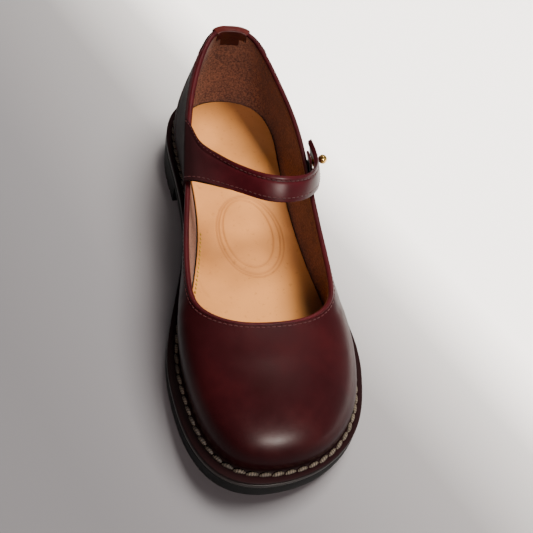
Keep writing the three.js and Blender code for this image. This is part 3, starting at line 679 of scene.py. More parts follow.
# ---- Topline binding ----
# A narrow strip of the same leather folded over the top edge of the walls and sewn through. It
# makes the thin raised lip round the opening.
BIND_OUT = 0.3  # how far it stands proud of the wall
BIND_DEEP = 1.4  # how far it comes down outside


def collar(t):
    """The topline, the wall's outward direction there and the way down the wall."""
    top_line = wall_point(t, 1.0)
    return top_line, wall_normal(t, 1.0), -unit(top_line - wall_point(t, 0.97))


top_line, face, down = collar(np.arange(480) / 480)
# Section of the binding: out from the wall's face and down from the topline.
BIND_SECTION = [
    (0.02, BIND_DEEP), (0.18, BIND_DEEP), (BIND_OUT, BIND_DEEP - 0.3), (BIND_OUT + 0.05, 0.7),
    (BIND_OUT - 0.05, 0.2), (0.05, -0.2), (-0.6, -0.5), (-1.2, -0.6), (-1.8, -0.5), (-2.4, -0.2),
    (-WALL - 0.25, 0.3), (-WALL - 0.28, 0.8), (-WALL - 0.2, 1.3), (-WALL + 0.1, 1.4),
    (-1.6, 1.0), (-0.8, 1.0),
]
rings = np.array([top_line + face * out + down * drop for out, drop in BIND_SECTION])
binding = tube_mesh("topline_binding", rings)
bind_leather = waxed_leather("waxed_binding_leather", "1e0709", "290a0d", "360e12")
finish_piece(binding, bind_leather, "upper_leather")

# ---- Heel counter ----
# A second leather over the back of both quarters, 1.3 mm thick, cut to a swept seam on each side,
# skived thin at its edges and sewn on with two close rows.
OVERLAY = 1.3
OVERLAY_GAP = 0.4 * GAP  # an overlay is pressed down on the wall when it is sewn
SKIVED, SKIVE_WIDTH = 0.7, 4  # its thickness at a skived edge, and how far the skiving runs
OVERLAY_FOOT, OVERLAY_TOP = 0.045, 0.975
COUNTER_SEAM = np.array([(23, 90), (19, 76), (8, 55), (-8, 38), (-24, 20)])  # y, z, top first
QUARTER_FRONT = np.array([(-72, 90), (-71, 62), (-66, 50), (-55, 36), (-44, 15)])


def spline_point(knots, s):
    """Points at s from 0 to 1 on a centripetal curve through the knots."""
    knots = np.asarray(knots, float)
    padded = np.concatenate([[2 * knots[0] - knots[1]], knots, [2 * knots[-1] - knots[-2]]])
    scaled = np.clip(np.asarray(s, float), 0, 1) * (len(knots) - 1)
    k = np.minimum(scaled.astype(int), len(knots) - 2)
    u = (scaled - k)[..., None]
    p0, p1, p2, p3 = (padded[k + i] for i in range(4))
    d0, d1, d2 = (
        np.maximum(np.sqrt(np.linalg.norm(b - a, axis=-1))[..., None], 1e-4)
        for a, b in ((p0, p1), (p1, p2), (p2, p3))
    )
    start = ((p1 - p0) / d0 - (p2 - p0) / (d0 + d1) + (p2 - p1) / d1) * d1
    end = ((p2 - p1) / d1 - (p3 - p1) / (d1 + d2) + (p3 - p2) / d2) * d1
    return p1 + (p2 - p1) * smooth(u) + start * u * (1 - u) ** 2 - end * u**2 * (1 - u)


MEDIAL, LATERAL = (0.1, 0.49), (0.9, 0.51)  # t at the ball and near the heel, on each side


def seam_t(seam, side, v):
    """t where a seam, given in side view, crosses the wall at each v."""
    line = spline_point(seam, np.linspace(0, 1, 60))[::-1]
    v = np.asarray(v, float)
    ball, heel = (np.full_like(v, end) for end in side)
    for _ in range(40):
        middle = (ball + heel) / 2
        point = wall_point(middle, v)
        ahead = point[..., 1] < np.interp(point[..., 2], line[:, 1], line[:, 0])
        ball = np.where(ahead, middle, ball)
        heel = np.where(ahead, heel, middle)
    return ball


def sheet_mesh(name, points, faces, thickness, ease=0.3):
    """A sheet of leather round its middle surface, with eased edges. thickness is per point."""
    sheet = new_mesh(name, points, faces)
    thickness = np.asarray(thickness).ravel()
    most = float(thickness.max())
    if len(sheet.data.vertices) != len(thickness):
        raise RuntimeError(f"{name} has doubled points")
    group = sheet.vertex_groups.new(name="thickness")
    for i, value in enumerate(thickness):
        group.add([i], float(value / most), "REPLACE")
    solid = sheet.modifiers.new("thickness", "SOLIDIFY")
    solid.thickness = most * MM
    solid.offset = 0
    solid.vertex_group = "thickness"
    solid.use_even_offset = False
    edge = sheet.modifiers.new("eased edge", "BEVEL")
    edge.limit_method = "ANGLE"
    edge.angle_limit = math.radians(50)
    edge.width = ease * MM
    edge.segments = 3
    freeze(sheet)
    sheet.data.shade_smooth()
    return sheet


v = np.linspace(OVERLAY_FOOT, OVERLAY_TOP, 54)
across = np.linspace(0, 1, 170)[None, :]
counter_medial = seam_t(COUNTER_SEAM, MEDIAL, v)[:, None]
counter_lateral = seam_t(COUNTER_SEAM, LATERAL, v)[:, None]
t = counter_medial + (counter_lateral - counter_medial) * across
points = wall(t, v[:, None], OVERLAY_GAP + OVERLAY / 2)
# Its two ends are skived thin.
near = np.minimum(across, 1 - across) * 150  # mm, about, from either end
skived = SKIVED + (OVERLAY - SKIVED) * np.clip(near / SKIVE_WIDTH, 0, 1)
skived = np.broadcast_to(skived, t.shape)
points = points - wall_normal(t, v[:, None]) * ((OVERLAY - skived) / 2)[..., None]
counter = sheet_mesh("heel_counter_leather", points, grid_faces(lattice(t.shape)), skived)
# Its medial side is painted darker, as painted shade, and made duller, from 4 mm off the
# middle of the heel to 14 mm further.
mark(counter, "burnish_and_shade", np.clip((-4 - mesh_points(counter)[:, 0]) / 14, 0, 0.9))
finish_piece(counter, oxblood, "upper_leather", "heel_counter")

# ---- Quarter and strap ----
# The medial quarter and the instep strap are one piece of leather. Over the wall it is a single
# layer, and past the topline a second leather is sewn to its back.
STRAP = 2.3
ROOT_LIFT = 1.6  # how far over the topline the strap passes
EDGE_LIFT = 1.0  # how far the quarter's own top edge stands over the topline behind it
CROWN, CREASE = 0.5, 0.3  # height of the strap's middle, depth of the crease in it
# Edges of the strap over the instep, x, y, z in mm: towards the heel, towards the toe.
STRAP_REAR = [
    (-30, -33, 68.9), (-25.4, -49, 69), (-15.6, -61.5, 71), (-5, -72.5, 74), (6, -80, 76),
    (16.5, -82, 76), (26.6, -79.5, 74.5), (33.8, -73.5, 72.3), (37.8, -65, 70.3),
    (38.6, -55.5, 69.6), (37.6, -46.5, 69.6),
]
STRAP_FRONT = [
    (-31.4, -72.4, 63.2), (-24, -74.8, 63.6), (-15.5, -78.2, 63.6), (-5, -83.5, 64.5),
    (7, -89.5, 65.5), (17.5, -90.5, 65.4), (28.2, -86.5, 63.6), (36.6, -77.8, 60.6),
    (41.1, -67.6, 57), (43, -57, 55.6), (41.8, -45.5, 56),
]
STRAP_ROWS, STRAP_COLUMNS, QUARTER_ROWS, QUARTER_COLUMNS = 150, 22, 56, 74
OVER_SHARE = 0.45  # share of the quarter's top edge that goes on as the strap

v = np.append(np.linspace(OVERLAY_FOOT, OVERLAY_TOP, QUARTER_ROWS - 1), 1.0)
front_t = seam_t(QUARTER_FRONT, MEDIAL, v)[:, None]
rear_t = seam_t(COUNTER_SEAM, MEDIAL, v)[:, None] - 0.0015
root_share = OVER_SHARE * np.linspace(0, 1, STRAP_COLUMNS)
rest_share = np.linspace(OVER_SHARE, 1, QUARTER_COLUMNS - STRAP_COLUMNS + 1)[1:]
shares = np.concatenate([root_share, rest_share])[None, :]
quarter_t = front_t + (rear_t - front_t) * shares
quarter_points = wall(quarter_t, v[:, None], OVERLAY_GAP + OVERLAY / 2)
# The last row stands over the topline, highest where the strap leaves it.
falling = np.clip((shares[0] - OVER_SHARE) / 0.3, 0, 1)
lift = ROOT_LIFT + (EDGE_LIFT - ROOT_LIFT) * smooth(falling)
quarter_points[-1, :, 2] += lift

# Each column of the strap follows a curve from the wall over the topline to the tail.
to_rear = np.linspace(0, 1, STRAP_COLUMNS)[:, None]
knots = [quarter_points[k, :STRAP_COLUMNS] for k in (-23, -12, -2, -1)]
for rear, front in zip(STRAP_REAR, STRAP_FRONT):
    knots.append(np.array(front) + (np.array(rear) - np.array(front)) * to_rear)
knots = np.array(knots)
leave = 3 / (len(knots) - 1)
run = leave + (1 - leave) * (np.arange(1, STRAP_ROWS + 1) / STRAP_ROWS)
strap_points = np.stack([spline_point(knots[:, k], run) for k in range(STRAP_COLUMNS)], 1)
strap_across = unit(strap_points[:, -1] - strap_points[:, 0])[:, None]
strap_along = np.gradient(strap_points, axis=0)
strap_normals = unit(np.cross(strap_along, np.broadcast_to(strap_across, strap_along.shape)))
if strap_normals[60, 10, 2] < 0:
    strap_normals = -strap_normals
# The strap is a little crowned across its width, and its edges roll down.
crown = CROWN * (1 - (2 * to_rear[:, 0] - 1) ** 2)
# A crease follows the stitches along its rear edge, with a ridge behind it.
for share, height in ((0.93, CREASE), (0.81, -CREASE)):
    crown += height * np.exp(-(((to_rear[:, 0] - share) / 0.05) ** 2))
crown_grow = np.clip(np.arange(STRAP_ROWS) / 30, 0, 1)
strap_points = strap_points + strap_normals * (crown_grow[:, None] * crown)[..., None]

count = quarter_t.size
quarter_index = lattice(quarter_t.shape)
strap_index = lattice((STRAP_ROWS, STRAP_COLUMNS), count)
joined = np.concatenate([quarter_index[-1:, :STRAP_COLUMNS], strap_index])
faces = grid_faces(quarter_index) + grid_faces(joined)
points = np.concatenate([quarter_points.reshape(-1, 3), strap_points.reshape(-1, 3)])
strap_thickness = OVERLAY + (STRAP - OVERLAY) * smooth(np.clip((np.arange(STRAP_ROWS) - 4) / 26, 0, 1))
thickness = np.append(np.full(count, OVERLAY), np.repeat(strap_thickness, STRAP_COLUMNS))
quarter_strap = sheet_mesh("quarter_and_strap_leather", points, faces, thickness, ease=0.4)
strap_leather = waxed_leather("waxed_strap_leather", "1b0508", "27080c", "340c11")
# Its medial end is painted darker, as painted shade, and made duller.
mark(quarter_strap, "burnish_and_shade", np.clip((-6 - mesh_points(quarter_strap)[:, 0]) / 28, 0, 0.9))
finish_piece(quarter_strap, strap_leather, "upper_leather", "quarter_strap")

# ---- Heel tab ----
# A short strip of the same leather folded over the back of the collar, which squares its corners.
# Its outer end lies on the counter and its inner end is sewn down on the lining.
TAB_HALF = 0.039  # half its width, as a share of the way round
TAB_OUTSIDE, TAB_INSIDE = 4.0, 5.6  # how far it comes down on each side
TAB_LEATHER = 0.7
top_line, face, down = collar(0.5 + np.linspace(-TAB_HALF, TAB_HALF, 46))
skive = 1 - 0.5 * np.abs(np.linspace(-1, 1, 46)) ** 3  # it thins out towards its ends
lay = OVERLAY_GAP + OVERLAY + 0.05 + TAB_LEATHER / 2
inner = -WALL - 0.32 - TAB_LEATHER / 2
TAB_PATH = [(lay - 0.2, TAB_OUTSIDE), (lay, 3.0), (lay, 1.8), (lay - 0.1, 0.8)]
for turn in np.radians(np.linspace(15, 165, 9)):
    TAB_PATH.append(((lay + inner) / 2 + (lay - inner) / 2 * math.cos(turn), 0.1 - 0.8 * math.sin(turn)))
TAB_PATH += [(inner, 0.9), (inner, 2.0), (inner, 3.2), (inner, 4.4), (inner, TAB_INSIDE)]
rows = []
for out, drop in TAB_PATH:
    lowered = 0.5 * (1 - skive) * (drop < 0.5)
    rows.append(top_line + face * out + down * (drop + lowered[:, None]))
rings, thickness = np.array(rows), np.tile(TAB_LEATHER * skive, (len(rows), 1))
# The tab and its end are the same leather painted lighter than the upper: painted light, where they lie
# in the collar's shade.
tab_leather = waxed_leather("tab_leather_painted_lighter", "2a0e0d", "371412", "471d19")
heel_tab = sheet_mesh("heel_tab_leather", rings, grid_faces(lattice(rings.shape)), thickness)
finish_piece(heel_tab, tab_leather, "upper_leather")
# The tab's own end, narrower and darker, is sewn on under the fold.
top_line, face, down = collar(0.499 + np.linspace(-0.022, 0.022, 26))
notch = 0.8 * np.cos(np.linspace(-1, 1, 26) * 3 * math.pi)
rows = [top_line + face * (-WALL - 0.5) + down * drop for drop in (4.4, 6.0, 7.5, 9.0)]
rows.append(top_line + face * (-WALL - 0.45) + down * (10.4 + 0.25 * notch)[:, None])
rings, thickness = np.array(rows), np.full((len(rows), 26), 0.8)
tab_end = sheet_mesh("heel_tab_end", rings, grid_faces(lattice(rings.shape)), thickness, ease=0.2)
finish_piece(tab_end, tab_leather, "upper_leather")

# ---- Stud ----
# A turned brass ball stud. Its shank is riveted through a short leather tab, a flat base keeps
# tab and strap apart, and the strap's hole is buttoned over the ball. Its axis is the CAD stud's.
BALL_RADIUS, NECK_RADIUS, BASE_RADIUS, BASE_THICK = 2.7, 1.4, 3.2, 0.8
stud_cad = mesh_points(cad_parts["stud"])
stud_middle = stud_cad.mean(0)
axis = np.linalg.svd(np.unique(np.round(stud_cad - stud_middle, 3), axis=0))[2][0]
axis = axis * np.sign(axis[0])
reach = (stud_cad - stud_middle) @ axis
ball_tip, shank_end = reach.max(), reach.min()
side = unit(np.cross(axis, [0, 0, 1.0]))
tall = np.cross(side, axis)
off_axis = (stud_cad - stud_middle) @ np.stack([side, tall], -1)
shank = off_axis[reach < shank_end + 0.3].mean(0)
stud_middle = stud_middle + side * shank[0] + tall * shank[1]
BASE_TOP = ball_tip - 2 * BALL_RADIUS - GAP - STRAP - GAP
base_end = BASE_TOP - BASE_THICK
profile = [
    (0, shank_end), (NECK_RADIUS * 0.9, shank_end), (NECK_RADIUS, shank_end + 0.2),
    (NECK_RADIUS, base_end), (BASE_RADIUS - 0.2, base_end), (BASE_RADIUS, base_end + 0.2),
    (BASE_RADIUS, BASE_TOP - 0.2), (BASE_RADIUS - 0.2, BASE_TOP),
    (NECK_RADIUS + 0.2, BASE_TOP), (NECK_RADIUS, BASE_TOP + 0.2),
]
neck_angle = math.asin(NECK_RADIUS / BALL_RADIUS)
for angle in np.linspace(neck_angle, math.pi, 20):
    height = ball_tip - BALL_RADIUS - BALL_RADIUS * math.cos(angle)
    profile.append((BALL_RADIUS * math.sin(angle), height))
profile[-1] = (0, ball_tip)
angles = np.linspace(0, 2 * math.pi, 48, endpoint=False)[:, None]
radial = side * np.cos(angles) + tall * np.sin(angles)
rings = np.array([stud_middle + axis * height + radial * radius for radius, height in profile])
stud = new_mesh("ball_stud", rings, grid_faces(lattice(rings.shape), wrap_columns=True))
stud.data.set_sharp_from_angle(angle=math.radians(40))
# Solid brass, turned and polished: yellow gold, bright, with a faint uneven haze.
brass, tree, shader, place = new_material("polished_brass")
haze = add_node(tree, "ShaderNodeTexNoise", {"Vector": place, "Scale": 700.0, "Detail": 3.0})
tone = add_node(tree, "ShaderNodeValToRGB", {"Fac": haze}, stops=[(0.3, "b98a3c"), (0.7, "e8c478")])
rough = add_node(tree, "ShaderNodeMapRange", {"Value": haze, "To Min": 0.14, "To Max": 0.3})
set_inputs(tree, shader, {"Base Color": tone, "Roughness": rough, "Metallic": 1.0})
finish_piece(stud, brass, "brass", "stud")

hole_rings = np.array([
    stud_middle + axis * height + radial * (NECK_RADIUS + GAP) for height in (-12.0, 12.0)
])
tube = lattice(hole_rings.shape)
tube_faces = grid_faces(tube, wrap_columns=True) + [tuple(tube[0]), tuple(tube[1])]
combine(quarter_strap, new_mesh("strap_hole", hole_rings, tube_faces), "DIFFERENCE")

# ---- Stud tab ----
# The short tab that carries the stud: one leather, sewn to the outside of the lateral quarter at
# its front end, its free end standing behind the strap.
STUD_TAB, TAB_WIDTH, TAB_END = 1.3, 10.0, 6.0
TAB_APRON, TAB_TUCK = 4.5, 3.1  # its lower edge goes on down and turns in to the quarter
TAB_SEWN = [(-74, 0.74, 0.95), (-69, 0.74, 0.95)]  # y, v of its lower and upper edge
TAB_ROWS = 44


def side_t(y, v, side):
    """t on one side of the shoe where the wall, at v, is at this y."""
    return seam_t([(y, 100), (y, 0)], side, v)


tab_middle = stud_middle + axis * (BASE_TOP - BASE_THICK - GAP - STUD_TAB / 2)
tab_back = side * np.sign(side[1])
tab_up = unit(np.cross(tab_back, axis))
tab_up = tab_up * np.sign(tab_up[2])
edges = []
for reach, pick in ((TAB_WIDTH / 2, 2), (-TAB_WIDTH / 2 - TAB_APRON, 1)):
    knots = []
    for row in TAB_SEWN:
        t = side_t(row[0], row[pick], LATERAL)
        knots.append(wall(t, row[pick], 1.4 * GAP + STUD_TAB / 2))
    knots += [tab_middle + tab_back * back + tab_up * reach for back in (-4, 1, TAB_END)]
    edges.append(spline_point(knots, np.linspace(0, 1, TAB_ROWS)))
high_edge, low_edge = edges
shares = np.linspace(0, 1, 14)[None, :, None]
points = high_edge[:, None] + (low_edge - high_edge)[:, None] * shares
standing = np.clip((np.arange(TAB_ROWS) - 12) / 16, 0, 1)[:, None, None]
points = points - axis * TAB_TUCK * standing * np.clip((shares - 0.6) / 0.4, 0, 1) ** 1.5
# Its free end is rounded.
ends = np.clip((np.arange(TAB_ROWS) - 38) / 5.5, 0, 1)[:, None, None]
middle_line = points.mean(1, keepdims=True)
points = middle_line + (points - middle_line) * np.sqrt(np.clip(1 - 0.75 * ends**2, 0, 1))
faces, thickness = grid_faces(lattice(points.shape)), np.full(points.shape[:2], STUD_TAB)
stud_tab = sheet_mesh("stud_tab_leather", points, faces, thickness, ease=0.35)
combine(stud_tab, new_mesh("tab_hole", hole_rings, tube_faces), "DIFFERENCE")
finish_piece(stud_tab, strap_leather, "upper_leather", "stud_tab")

# ---- Stitching ----
# Waxed thread. The flange is sewn down with thick pale linen thread, lying in a groove. All on the
# upper is sewn with fine burgundy thread, and a yellow row shows at the insole's medial edge.
COARSE = {"Pitch": 6.3, "Length": 5.7, "Width": 2.1, "Crown": 0.4, "Slant": 0.12}
FINE = {"Pitch": 2.7, "Length": 2.3, "Width": 0.55, "Crown": 0.12, "Slant": 0.0}
EDGING = {"Pitch": 2.8, "Length": 1.9, "Width": 0.9, "Crown": 0.3, "Slant": 0.3}
row_tree = bpy.data.node_groups.new("stitch_row", "GeometryNodeTree")
row_tree.is_modifier = True
STITCH_INPUTS = {}
for name, kind in (
    ("Path", "Geometry"), ("Pitch", "Float"), ("Length", "Float"), ("Width", "Float"),
    ("Crown", "Float"), ("Slant", "Float"), ("Seed", "Int"), ("Thread", "Material"),
):
    STITCH_INPUTS[name] = row_tree.interface.new_socket(
        name, in_out="INPUT", socket_type="NodeSocket" + kind
    )
row_tree.interface.new_socket("Stitches", in_out="OUTPUT", socket_type="NodeSocketGeometry")
given = add_node(row_tree, "NodeGroupInput").outputs
sizes = []
for name, share in (("Length", -0.5), ("Length", 0.5), ("Width", -0.45), ("Width", 0.5), ("Crown", 2.0)):
    parts = {0: given[name], 1: share}
    sizes.append(add_node(row_tree, "ShaderNodeMath", parts, operation="MULTIPLY"))
minus_half, half, dip, radius, bulge = sizes
# One stitch is a bow of yarn that dips into the leather at both ends and thins there.
start, middle, end = (
    add_node(row_tree, "ShaderNodeCombineXYZ", place)
    for place in ({"X": minus_half, "Z": dip}, {"Z": bulge}, {"X": half, "Z": dip})
)
bow = {"Resolution": 6, "Start": start, "Middle": middle, "End": end}
bow = add_node(row_tree, "GeometryNodeCurveQuadraticBezier", bow)
ring = add_node(row_tree, "GeometryNodeCurvePrimitiveCircle", {"Resolution": 8, "Radius": radius})
along = add_node(row_tree, "GeometryNodeSplineParameter").outputs["Factor"]
taper = {0: along}
for operation, values in (
    ("MULTIPLY_ADD", {1: 2.0, 2: -1.0}), ("ABSOLUTE", {}), ("POWER", {1: 3.0}),
    ("MULTIPLY_ADD", {1: -0.55, 2: 1.0}),
):
    taper = {0: add_node(row_tree, "ShaderNodeMath", taper | values, operation=operation)}
bow, ring = (
    add_node(
        row_tree,
        "GeometryNodeStoreNamedAttribute",
        {"Geometry": curve, "Name": name, "Value": along},
        data_type="FLOAT",
    )
    for curve, name in ((bow, "yarn_along"), (ring, "yarn_round"))
)
stitch = {"Curve": bow, "Profile Curve": ring, "Scale": taper[0], "Fill Caps": True}
stitch = add_node(row_tree, "GeometryNodeCurveToMesh", stitch)
line = add_node(row_tree, "GeometryNodeMeshToCurve", {"Mesh": given["Path"]})
spacing = {"Curve": line, "Length": given["Pitch"]}
spaced = add_node(row_tree, "GeometryNodeResampleCurve", spacing, mode="LENGTH")
lay = add_node(row_tree, "GeometryNodeInputNamedAttribute", {"Name": "lay"}, data_type="FLOAT_VECTOR")
heading = add_node(row_tree, "GeometryNodeInputTangent")
turned = add_node(
    row_tree,
    "FunctionNodeAxesToRotation",
    {"Primary Axis": lay.outputs["Attribute"], "Secondary Axis": heading},
    primary_axis="Z",
    secondary_axis="X",
)
wobble, size = (
    add_node(
        row_tree,
        "FunctionNodeRandomValue",
        {"Min": least, "Max": most, "Seed": given["Seed"]},
        data_type="FLOAT",
    ).outputs[1]
    for least, most in ((-0.06, 0.06), (0.93, 1.05))
)
swing = add_node(row_tree, "ShaderNodeMath", {0: wobble, 1: given["Slant"]}, operation="ADD")
swing = add_node(row_tree, "ShaderNodeCombineXYZ", {"Z": swing})
slanted = {"Rotation": turned, "Rotate By": swing}
slanted = add_node(row_tree, "FunctionNodeRotateRotation", slanted, rotation_space="LOCAL")
laid = {"Points": spaced, "Instance": stitch, "Rotation": slanted, "Scale": size}
laid = add_node(row_tree, "GeometryNodeInstanceOnPoints", laid)
real = add_node(row_tree, "GeometryNodeRealizeInstances", {"Geometry": laid})
threaded = {"Geometry": real, "Material": given["Thread"]}
threaded = add_node(row_tree, "GeometryNodeSetMaterial", threaded)
add_node(row_tree, "NodeGroupOutput", {"Stitches": threaded})


def thread_material(name, dark, light, wax):
    """Twisted waxed thread: matt yarn with a diagonal ply, drawn from the stitch's own length."""
    material, tree, shader, place = new_material(name)
    along, around = (
        add_node(tree, "ShaderNodeAttribute", attribute_name=name).outputs["Fac"]
        for name in ("yarn_along", "yarn_round")
    )
    plies = {0: along, 1: 5.0, 2: around}
    plies = add_node(tree, "ShaderNodeMath", plies, operation="MULTIPLY_ADD")
    turns = add_node(tree, "ShaderNodeMath", {0: plies, 1: 2 * math.pi}, operation="MULTIPLY")
    wave = add_node(tree, "ShaderNodeMath", {0: turns}, operation="SINE")
    fuzz = add_node(tree, "ShaderNodeTexNoise", {"Vector": place, "Scale": 1800.0, "Detail": 3.0})
    height = {0: wave, 1: 0.35, 2: fuzz}
    height = add_node(tree, "ShaderNodeMath", height, operation="MULTIPLY_ADD")
    # The tone follows the ply's height with random fuzz: painted shade in the grooves between the plies,
    # lighter on their crests.
    stops = [(0.2, dark), (0.75, light)]
    tone = add_node(tree, "ShaderNodeValToRGB", {"Fac": height}, stops=stops)
    dents = {"Height": height, "Distance": 0.0002, "Strength": 0.6}
    dents = add_node(tree, "ShaderNodeBump", dents)
    # Dirt and wax gather on some stitches more than on others.
    soil = add_node(tree, "ShaderNodeTexNoise", {"Vector": place, "Scale": 90.0, "Detail": 3.0})
    soiled = {"Value": soil, "From Min": 0.45, "From Max": 0.7, "To Max": 0.75}
    soiled = add_node(tree, "ShaderNodeMapRange", soiled)
    layers = {"Fac": soiled, "Color1": tone, "Color2": linear(dark)}
    colour = add_node(tree, "ShaderNodeMixRGB", layers)
    set_inputs(tree, shader, {"Base Color": colour, "Normal": dents, "Roughness": wax})
    return material


linen = thread_material("waxed_linen_thread", "29241e", "544c41", 0.7)
burgundy_thread = thread_material("burgundy_polyester_thread", "1c0808", "451a1b", 0.5)


def sew(name, paths, thread, sizes, seed):
    """Rows of stitches along paths, each an array of points, their outward directions and whether
    the row closes on itself, all made one piece. sizes are in mm, and the slant in radians."""
    points, directions, edges = [], [], []
    for path, lay, closed in paths:
        first = len(points)
        count = len(path)
        points += (np.asarray(path) * MM).tolist()
        directions.append(np.asarray(lay))
        edges += [(first + i, first + i + 1) for i in range(count - 1)]
        if closed:
            edges.append((first + count - 1, first))
    mesh = bpy.data.meshes.new(name)
    mesh.from_pydata(points, edges, [])
    lay_attribute = mesh.attributes.new("lay", "FLOAT_VECTOR", "POINT")
    lay_attribute.data.foreach_set("vector", np.concatenate(directions).ravel())
    row = new_object(name, mesh)
    step = row.modifiers.new("stitches", "NODES")
    step.node_group = row_tree
    values = {label: value * MM for label, value in sizes.items()}
    values |= {"Slant": sizes["Slant"], "Seed": seed, "Thread": thread}
    for label, value in values.items():
        step[STITCH_INPUTS[label].identifier] = value
    freeze(row)
    row.data.shade_smooth()
    finish_piece(row, thread, "thread")
    return row


def flat_lay(path):
    """Straight up, at every point of a path."""
    return np.broadcast_to([0, 0, 1.0], path.shape)


# The flange's row, all round, in its groove.
path = at_height(foot_point(np.arange(900) / 900, GROOVE_OUT), over) + [0, 0, 0.05]
sew("flange_stitching", [(path, flat_lay(path), True)], linen, COARSE, seed=3)


def below_top(t, depth):
    """v of a line `depth` mm below the topline."""
    return 1 - depth / (3 * reach_at(t))


def wall_row(t, v, grow):
    """An open row of stitches on the wall."""
    v = np.broadcast_to(np.asarray(v, float), t.shape)
    return wall(t, v, grow), wall_normal(t, v), False


def shifted(t, v, distance):
    """t moved along the wall by `distance` mm, towards the heel on the medial side."""
    h = 0.002
    speed = np.linalg.norm(wall_point(t + h, v) - wall_point(t - h, v), axis=-1) / (2 * h)
    return t + distance / speed


ON_WALL, ON_OVERLAY = 0.02, OVERLAY_GAP + OVERLAY + 0.02
SUNK = 0.15  # the rows along a skived edge lie lower
ROW_INSET = 2.2  # of the strap's rows from its edges
seam_v = np.linspace(0.07, 0.93, 200)
front_top, rear_top, lateral_top = (
    float(seam_t(seam, side, 0.95))
    for seam, side in ((QUARTER_FRONT, MEDIAL), (COUNTER_SEAM, MEDIAL), (COUNTER_SEAM, LATERAL))
)
strap_end = front_top + (rear_top - front_top) * (OVER_SHARE + 0.06)
rows = []
for start, end, count, depth, grow in (
    (lateral_top + 0.006, 1 + front_top - 0.004, 700, 2.5, ON_WALL),
    (strap_end, rear_top - 0.004, 160, 2.4, ON_OVERLAY),
    (rear_top + 0.003, lateral_top - 0.003, 240, 3.0, ON_OVERLAY),
):
    t = np.linspace(start, end, count)
    rows.append(wall_row(t, below_top(t, depth), grow))
for inset in (2.0, 4.2):
    for seam, side, away, grow in (
        (COUNTER_SEAM, MEDIAL, inset, ON_OVERLAY - SUNK),
        (COUNTER_SEAM, LATERAL, -inset, ON_OVERLAY - SUNK),
        (QUARTER_FRONT, MEDIAL, inset, ON_OVERLAY),
    ):
        rows.append(wall_row(shifted(seam_t(seam, side, seam_v), seam_v, away), seam_v, grow))
drops = np.linspace(0.9, TAB_INSIDE - 0.6, 12)[:, None]
for end in (-0.036, 0.036):
    top_line, face, down = collar(np.full(12, 0.5 + end))
    rows.append((top_line - face * (WALL + 0.34 + 0.8 * TAB_LEATHER) + down * drops, -face, False))
# Round the strap, inside its edges and across its tail.
front_edge, rear_edge = strap_points[:, 0], strap_points[:, -1]
shares = ROW_INSET / np.linalg.norm(rear_edge - front_edge, axis=-1)
normals = strap_normals.mean(1)
lifted = 0.5 * (1 - (1 - 2 * shares) ** 2) * crown_grow + strap_thickness / 2 + 0.02
lifted = normals * lifted[:, None]
rear_row = rear_edge + (front_edge - rear_edge) * shares[:, None] + lifted
front_row = front_edge + (rear_edge - front_edge) * shares[:, None] + lifted
last = STRAP_ROWS - 4
over_tail = np.linspace(0.1, 0.9, 9)[:, None]
tail_row = rear_row[last] + (front_row[last] - rear_row[last]) * over_tail
tail_row = tail_row + normals[last] * (np.sin(over_tail * math.pi) * 0.4)
loop = np.concatenate([rear_row[2:last], tail_row, front_row[2:last][::-1]])
up = normals[2:last]
loop_lay = np.concatenate([up, np.repeat(normals[last][None], 9, 0), up[::-1]])
rows.append((loop, loop_lay, False))
sew("upper_stitching", rows, burgundy_thread, FINE, seed=7)
# A short run of yellow thread shows along the insole's medial edge at the waist.
yellow_thread = thread_material("yellow_edge_thread", "6e5212", "b8922f", 0.75)
t = np.linspace(side_t(-146, 0.1, MEDIAL), side_t(-74, 0.1, MEDIAL), 120)
path = at_height(insole_edge(t, 1.7), above_seat(GAP + INSOLE_LAYER + 0.15))
rows = [(path, flat_lay(path), False)]
sew("insole_edge_stitching", rows, yellow_thread, EDGING, seed=5)

# ---- Floor, light and camera ----
# The shoe stands on a sheet of paper in a dim room, under a large window on its right and
# smaller lamps in front of its toe, and is seen from above its toe.
FLOOR_HALF = 3000  # mm, half the sheet's side
FLOOR_DROP = 0.2  # mm, keeps the sheet clear of the tread
signs = np.array([(-1, -1), (1, -1), (1, 1), (-1, 1)])
corners = np.column_stack([signs * FLOOR_HALF, np.full(4, -FLOOR_DROP)])
floor = new_mesh("floor", corners, [(0, 1, 2, 3)])
# A backdrop sheet of matt paper, white at the back right and running into grey towards the front
# left: painted light falloff from the window, and painted shade towards the front left.
paper, tree, shader, place = new_material("paper_painted_falloff")
across = {0: place, 1: (0.9, 0.45, 0)}
across = add_node(tree, "ShaderNodeVectorMath", across, operation="DOT_PRODUCT").outputs["Value"]
across = add_node(tree, "ShaderNodeMapRange", {"Value": across, "From Min": -0.18, "From Max": 0.08})
stops = [(0, "58585b"), (0.27, "606063"), (0.6, "737375"), (0.81, "a4a4a5"), (1, "f6f6f6")]
painted_falloff = add_node(tree, "ShaderNodeValToRGB", {"Fac": across}, stops=stops)
set_inputs(tree, shader, {"Base Color": painted_falloff, "Roughness": 0.8, "Specular IOR Level": 0.05})
floor.data.materials.append(paper)

# A dim room, paler towards the window on the right.
world = bpy.data.worlds.new("room")
bpy.context.scene.world = world
world.use_nodes = True
room = world.node_tree
toward = {0: add_node(room, "ShaderNodeTexCoord").outputs["Generated"], 1: (0.9, 0.4, 0.15)}
toward = add_node(room, "ShaderNodeVectorMath", toward, operation="DOT_PRODUCT").outputs["Value"]
glow = {"Value": toward, "From Min": -0.5, "From Max": 1.0, "To Min": 0.05, "To Max": 0.4}
glow = add_node(room, "ShaderNodeMapRange", glow)
set_inputs(room, room.nodes["Background"], {"Strength": glow, "Color": linear("e6ecf2")})

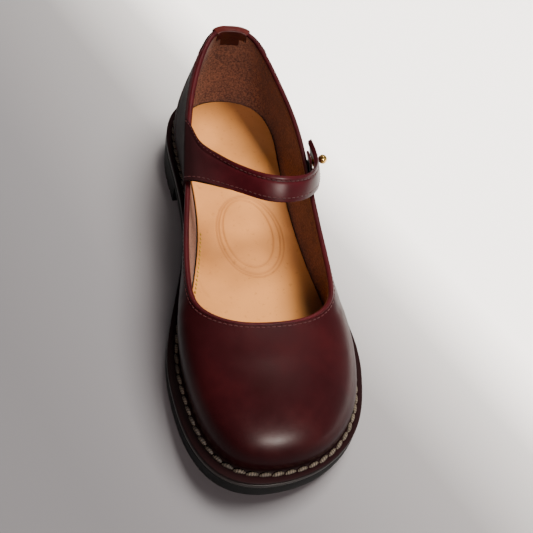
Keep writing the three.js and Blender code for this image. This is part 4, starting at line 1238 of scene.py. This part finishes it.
# Soft boxes: name, middle in m, what it points at, size, power, colour, whether it lights the
# surfaces, whether it gleams on them. The large window is polarised, so it has no gleam.
LIGHTS = [
    ("window", (0.44, 0.15, 1.28), (0.08, 0.02, 0), (0.8, 0.6), 80.0, "fff7ee", True, False),
    ("sheen", (0.24, 0.45, 1.28), (0, -0.15, 0), (0.4, 0.18), 3.0, "ffece0", False, True),
    ("front", (0.2, -1.1, 0.84), (0, -0.2, 0), (0.3, 0.09), 23.0, "fff4ea", False, True),
    ("front_fill", (-0.1, -1.1, 0.8), (0, -0.2, 0), (0.5, 0.5), 12.0, "ffe6e0", True, False),
]
for name, middle, target, size, power, colour, lights, gleams in LIGHTS:
    lamp = bpy.data.lights.new(name, "AREA")
    lamp.shape = "RECTANGLE"
    lamp.size, lamp.size_y = size
    lamp.energy = power
    lamp.color = linear(colour)[:3]
    holder = new_object(name, lamp)
    turn = (Vector(target) - Vector(middle)).to_track_quat("-Z", "Y")
    holder.matrix_world = Matrix.Translation(middle) @ turn.to_matrix().to_4x4()
    holder.visible_diffuse = lights
    holder.visible_glossy = gleams

CAMERA_PLACE = (-84.792, -369.119, 371.195)  # mm
YAW, PITCH, ROLL = (math.radians(angle) for angle in (-7.939, 48.498, 4.989))
AIM = Vector((0.1255, -0.0616, -1.0))  # the shoe's middle, from the turned camera
FOCAL = 53.0  # mm on a 36 mm sensor
back = Vector((math.sin(YAW) * math.cos(PITCH), -math.cos(YAW) * math.cos(PITCH), math.sin(PITCH)))
right = (-back).cross(Vector((0, 0, 1))).normalized()
up = right.cross(-back)
turned_right = math.cos(ROLL) * right + math.sin(ROLL) * up
turned_up = -math.sin(ROLL) * right + math.cos(ROLL) * up
lens = bpy.data.cameras.new("camera")
lens.lens = FOCAL
lens.sensor_width = 36.0
camera = new_object("camera", lens)
turn = Matrix((turned_right, turned_up, back)).transposed()
aimed = turn @ Vector((0, 0, -1)).rotation_difference(AIM).to_matrix()
camera.matrix_world = Matrix.Translation(Vector(CAMERA_PLACE) * MM) @ aimed.to_4x4()
bpy.context.scene.camera = camera
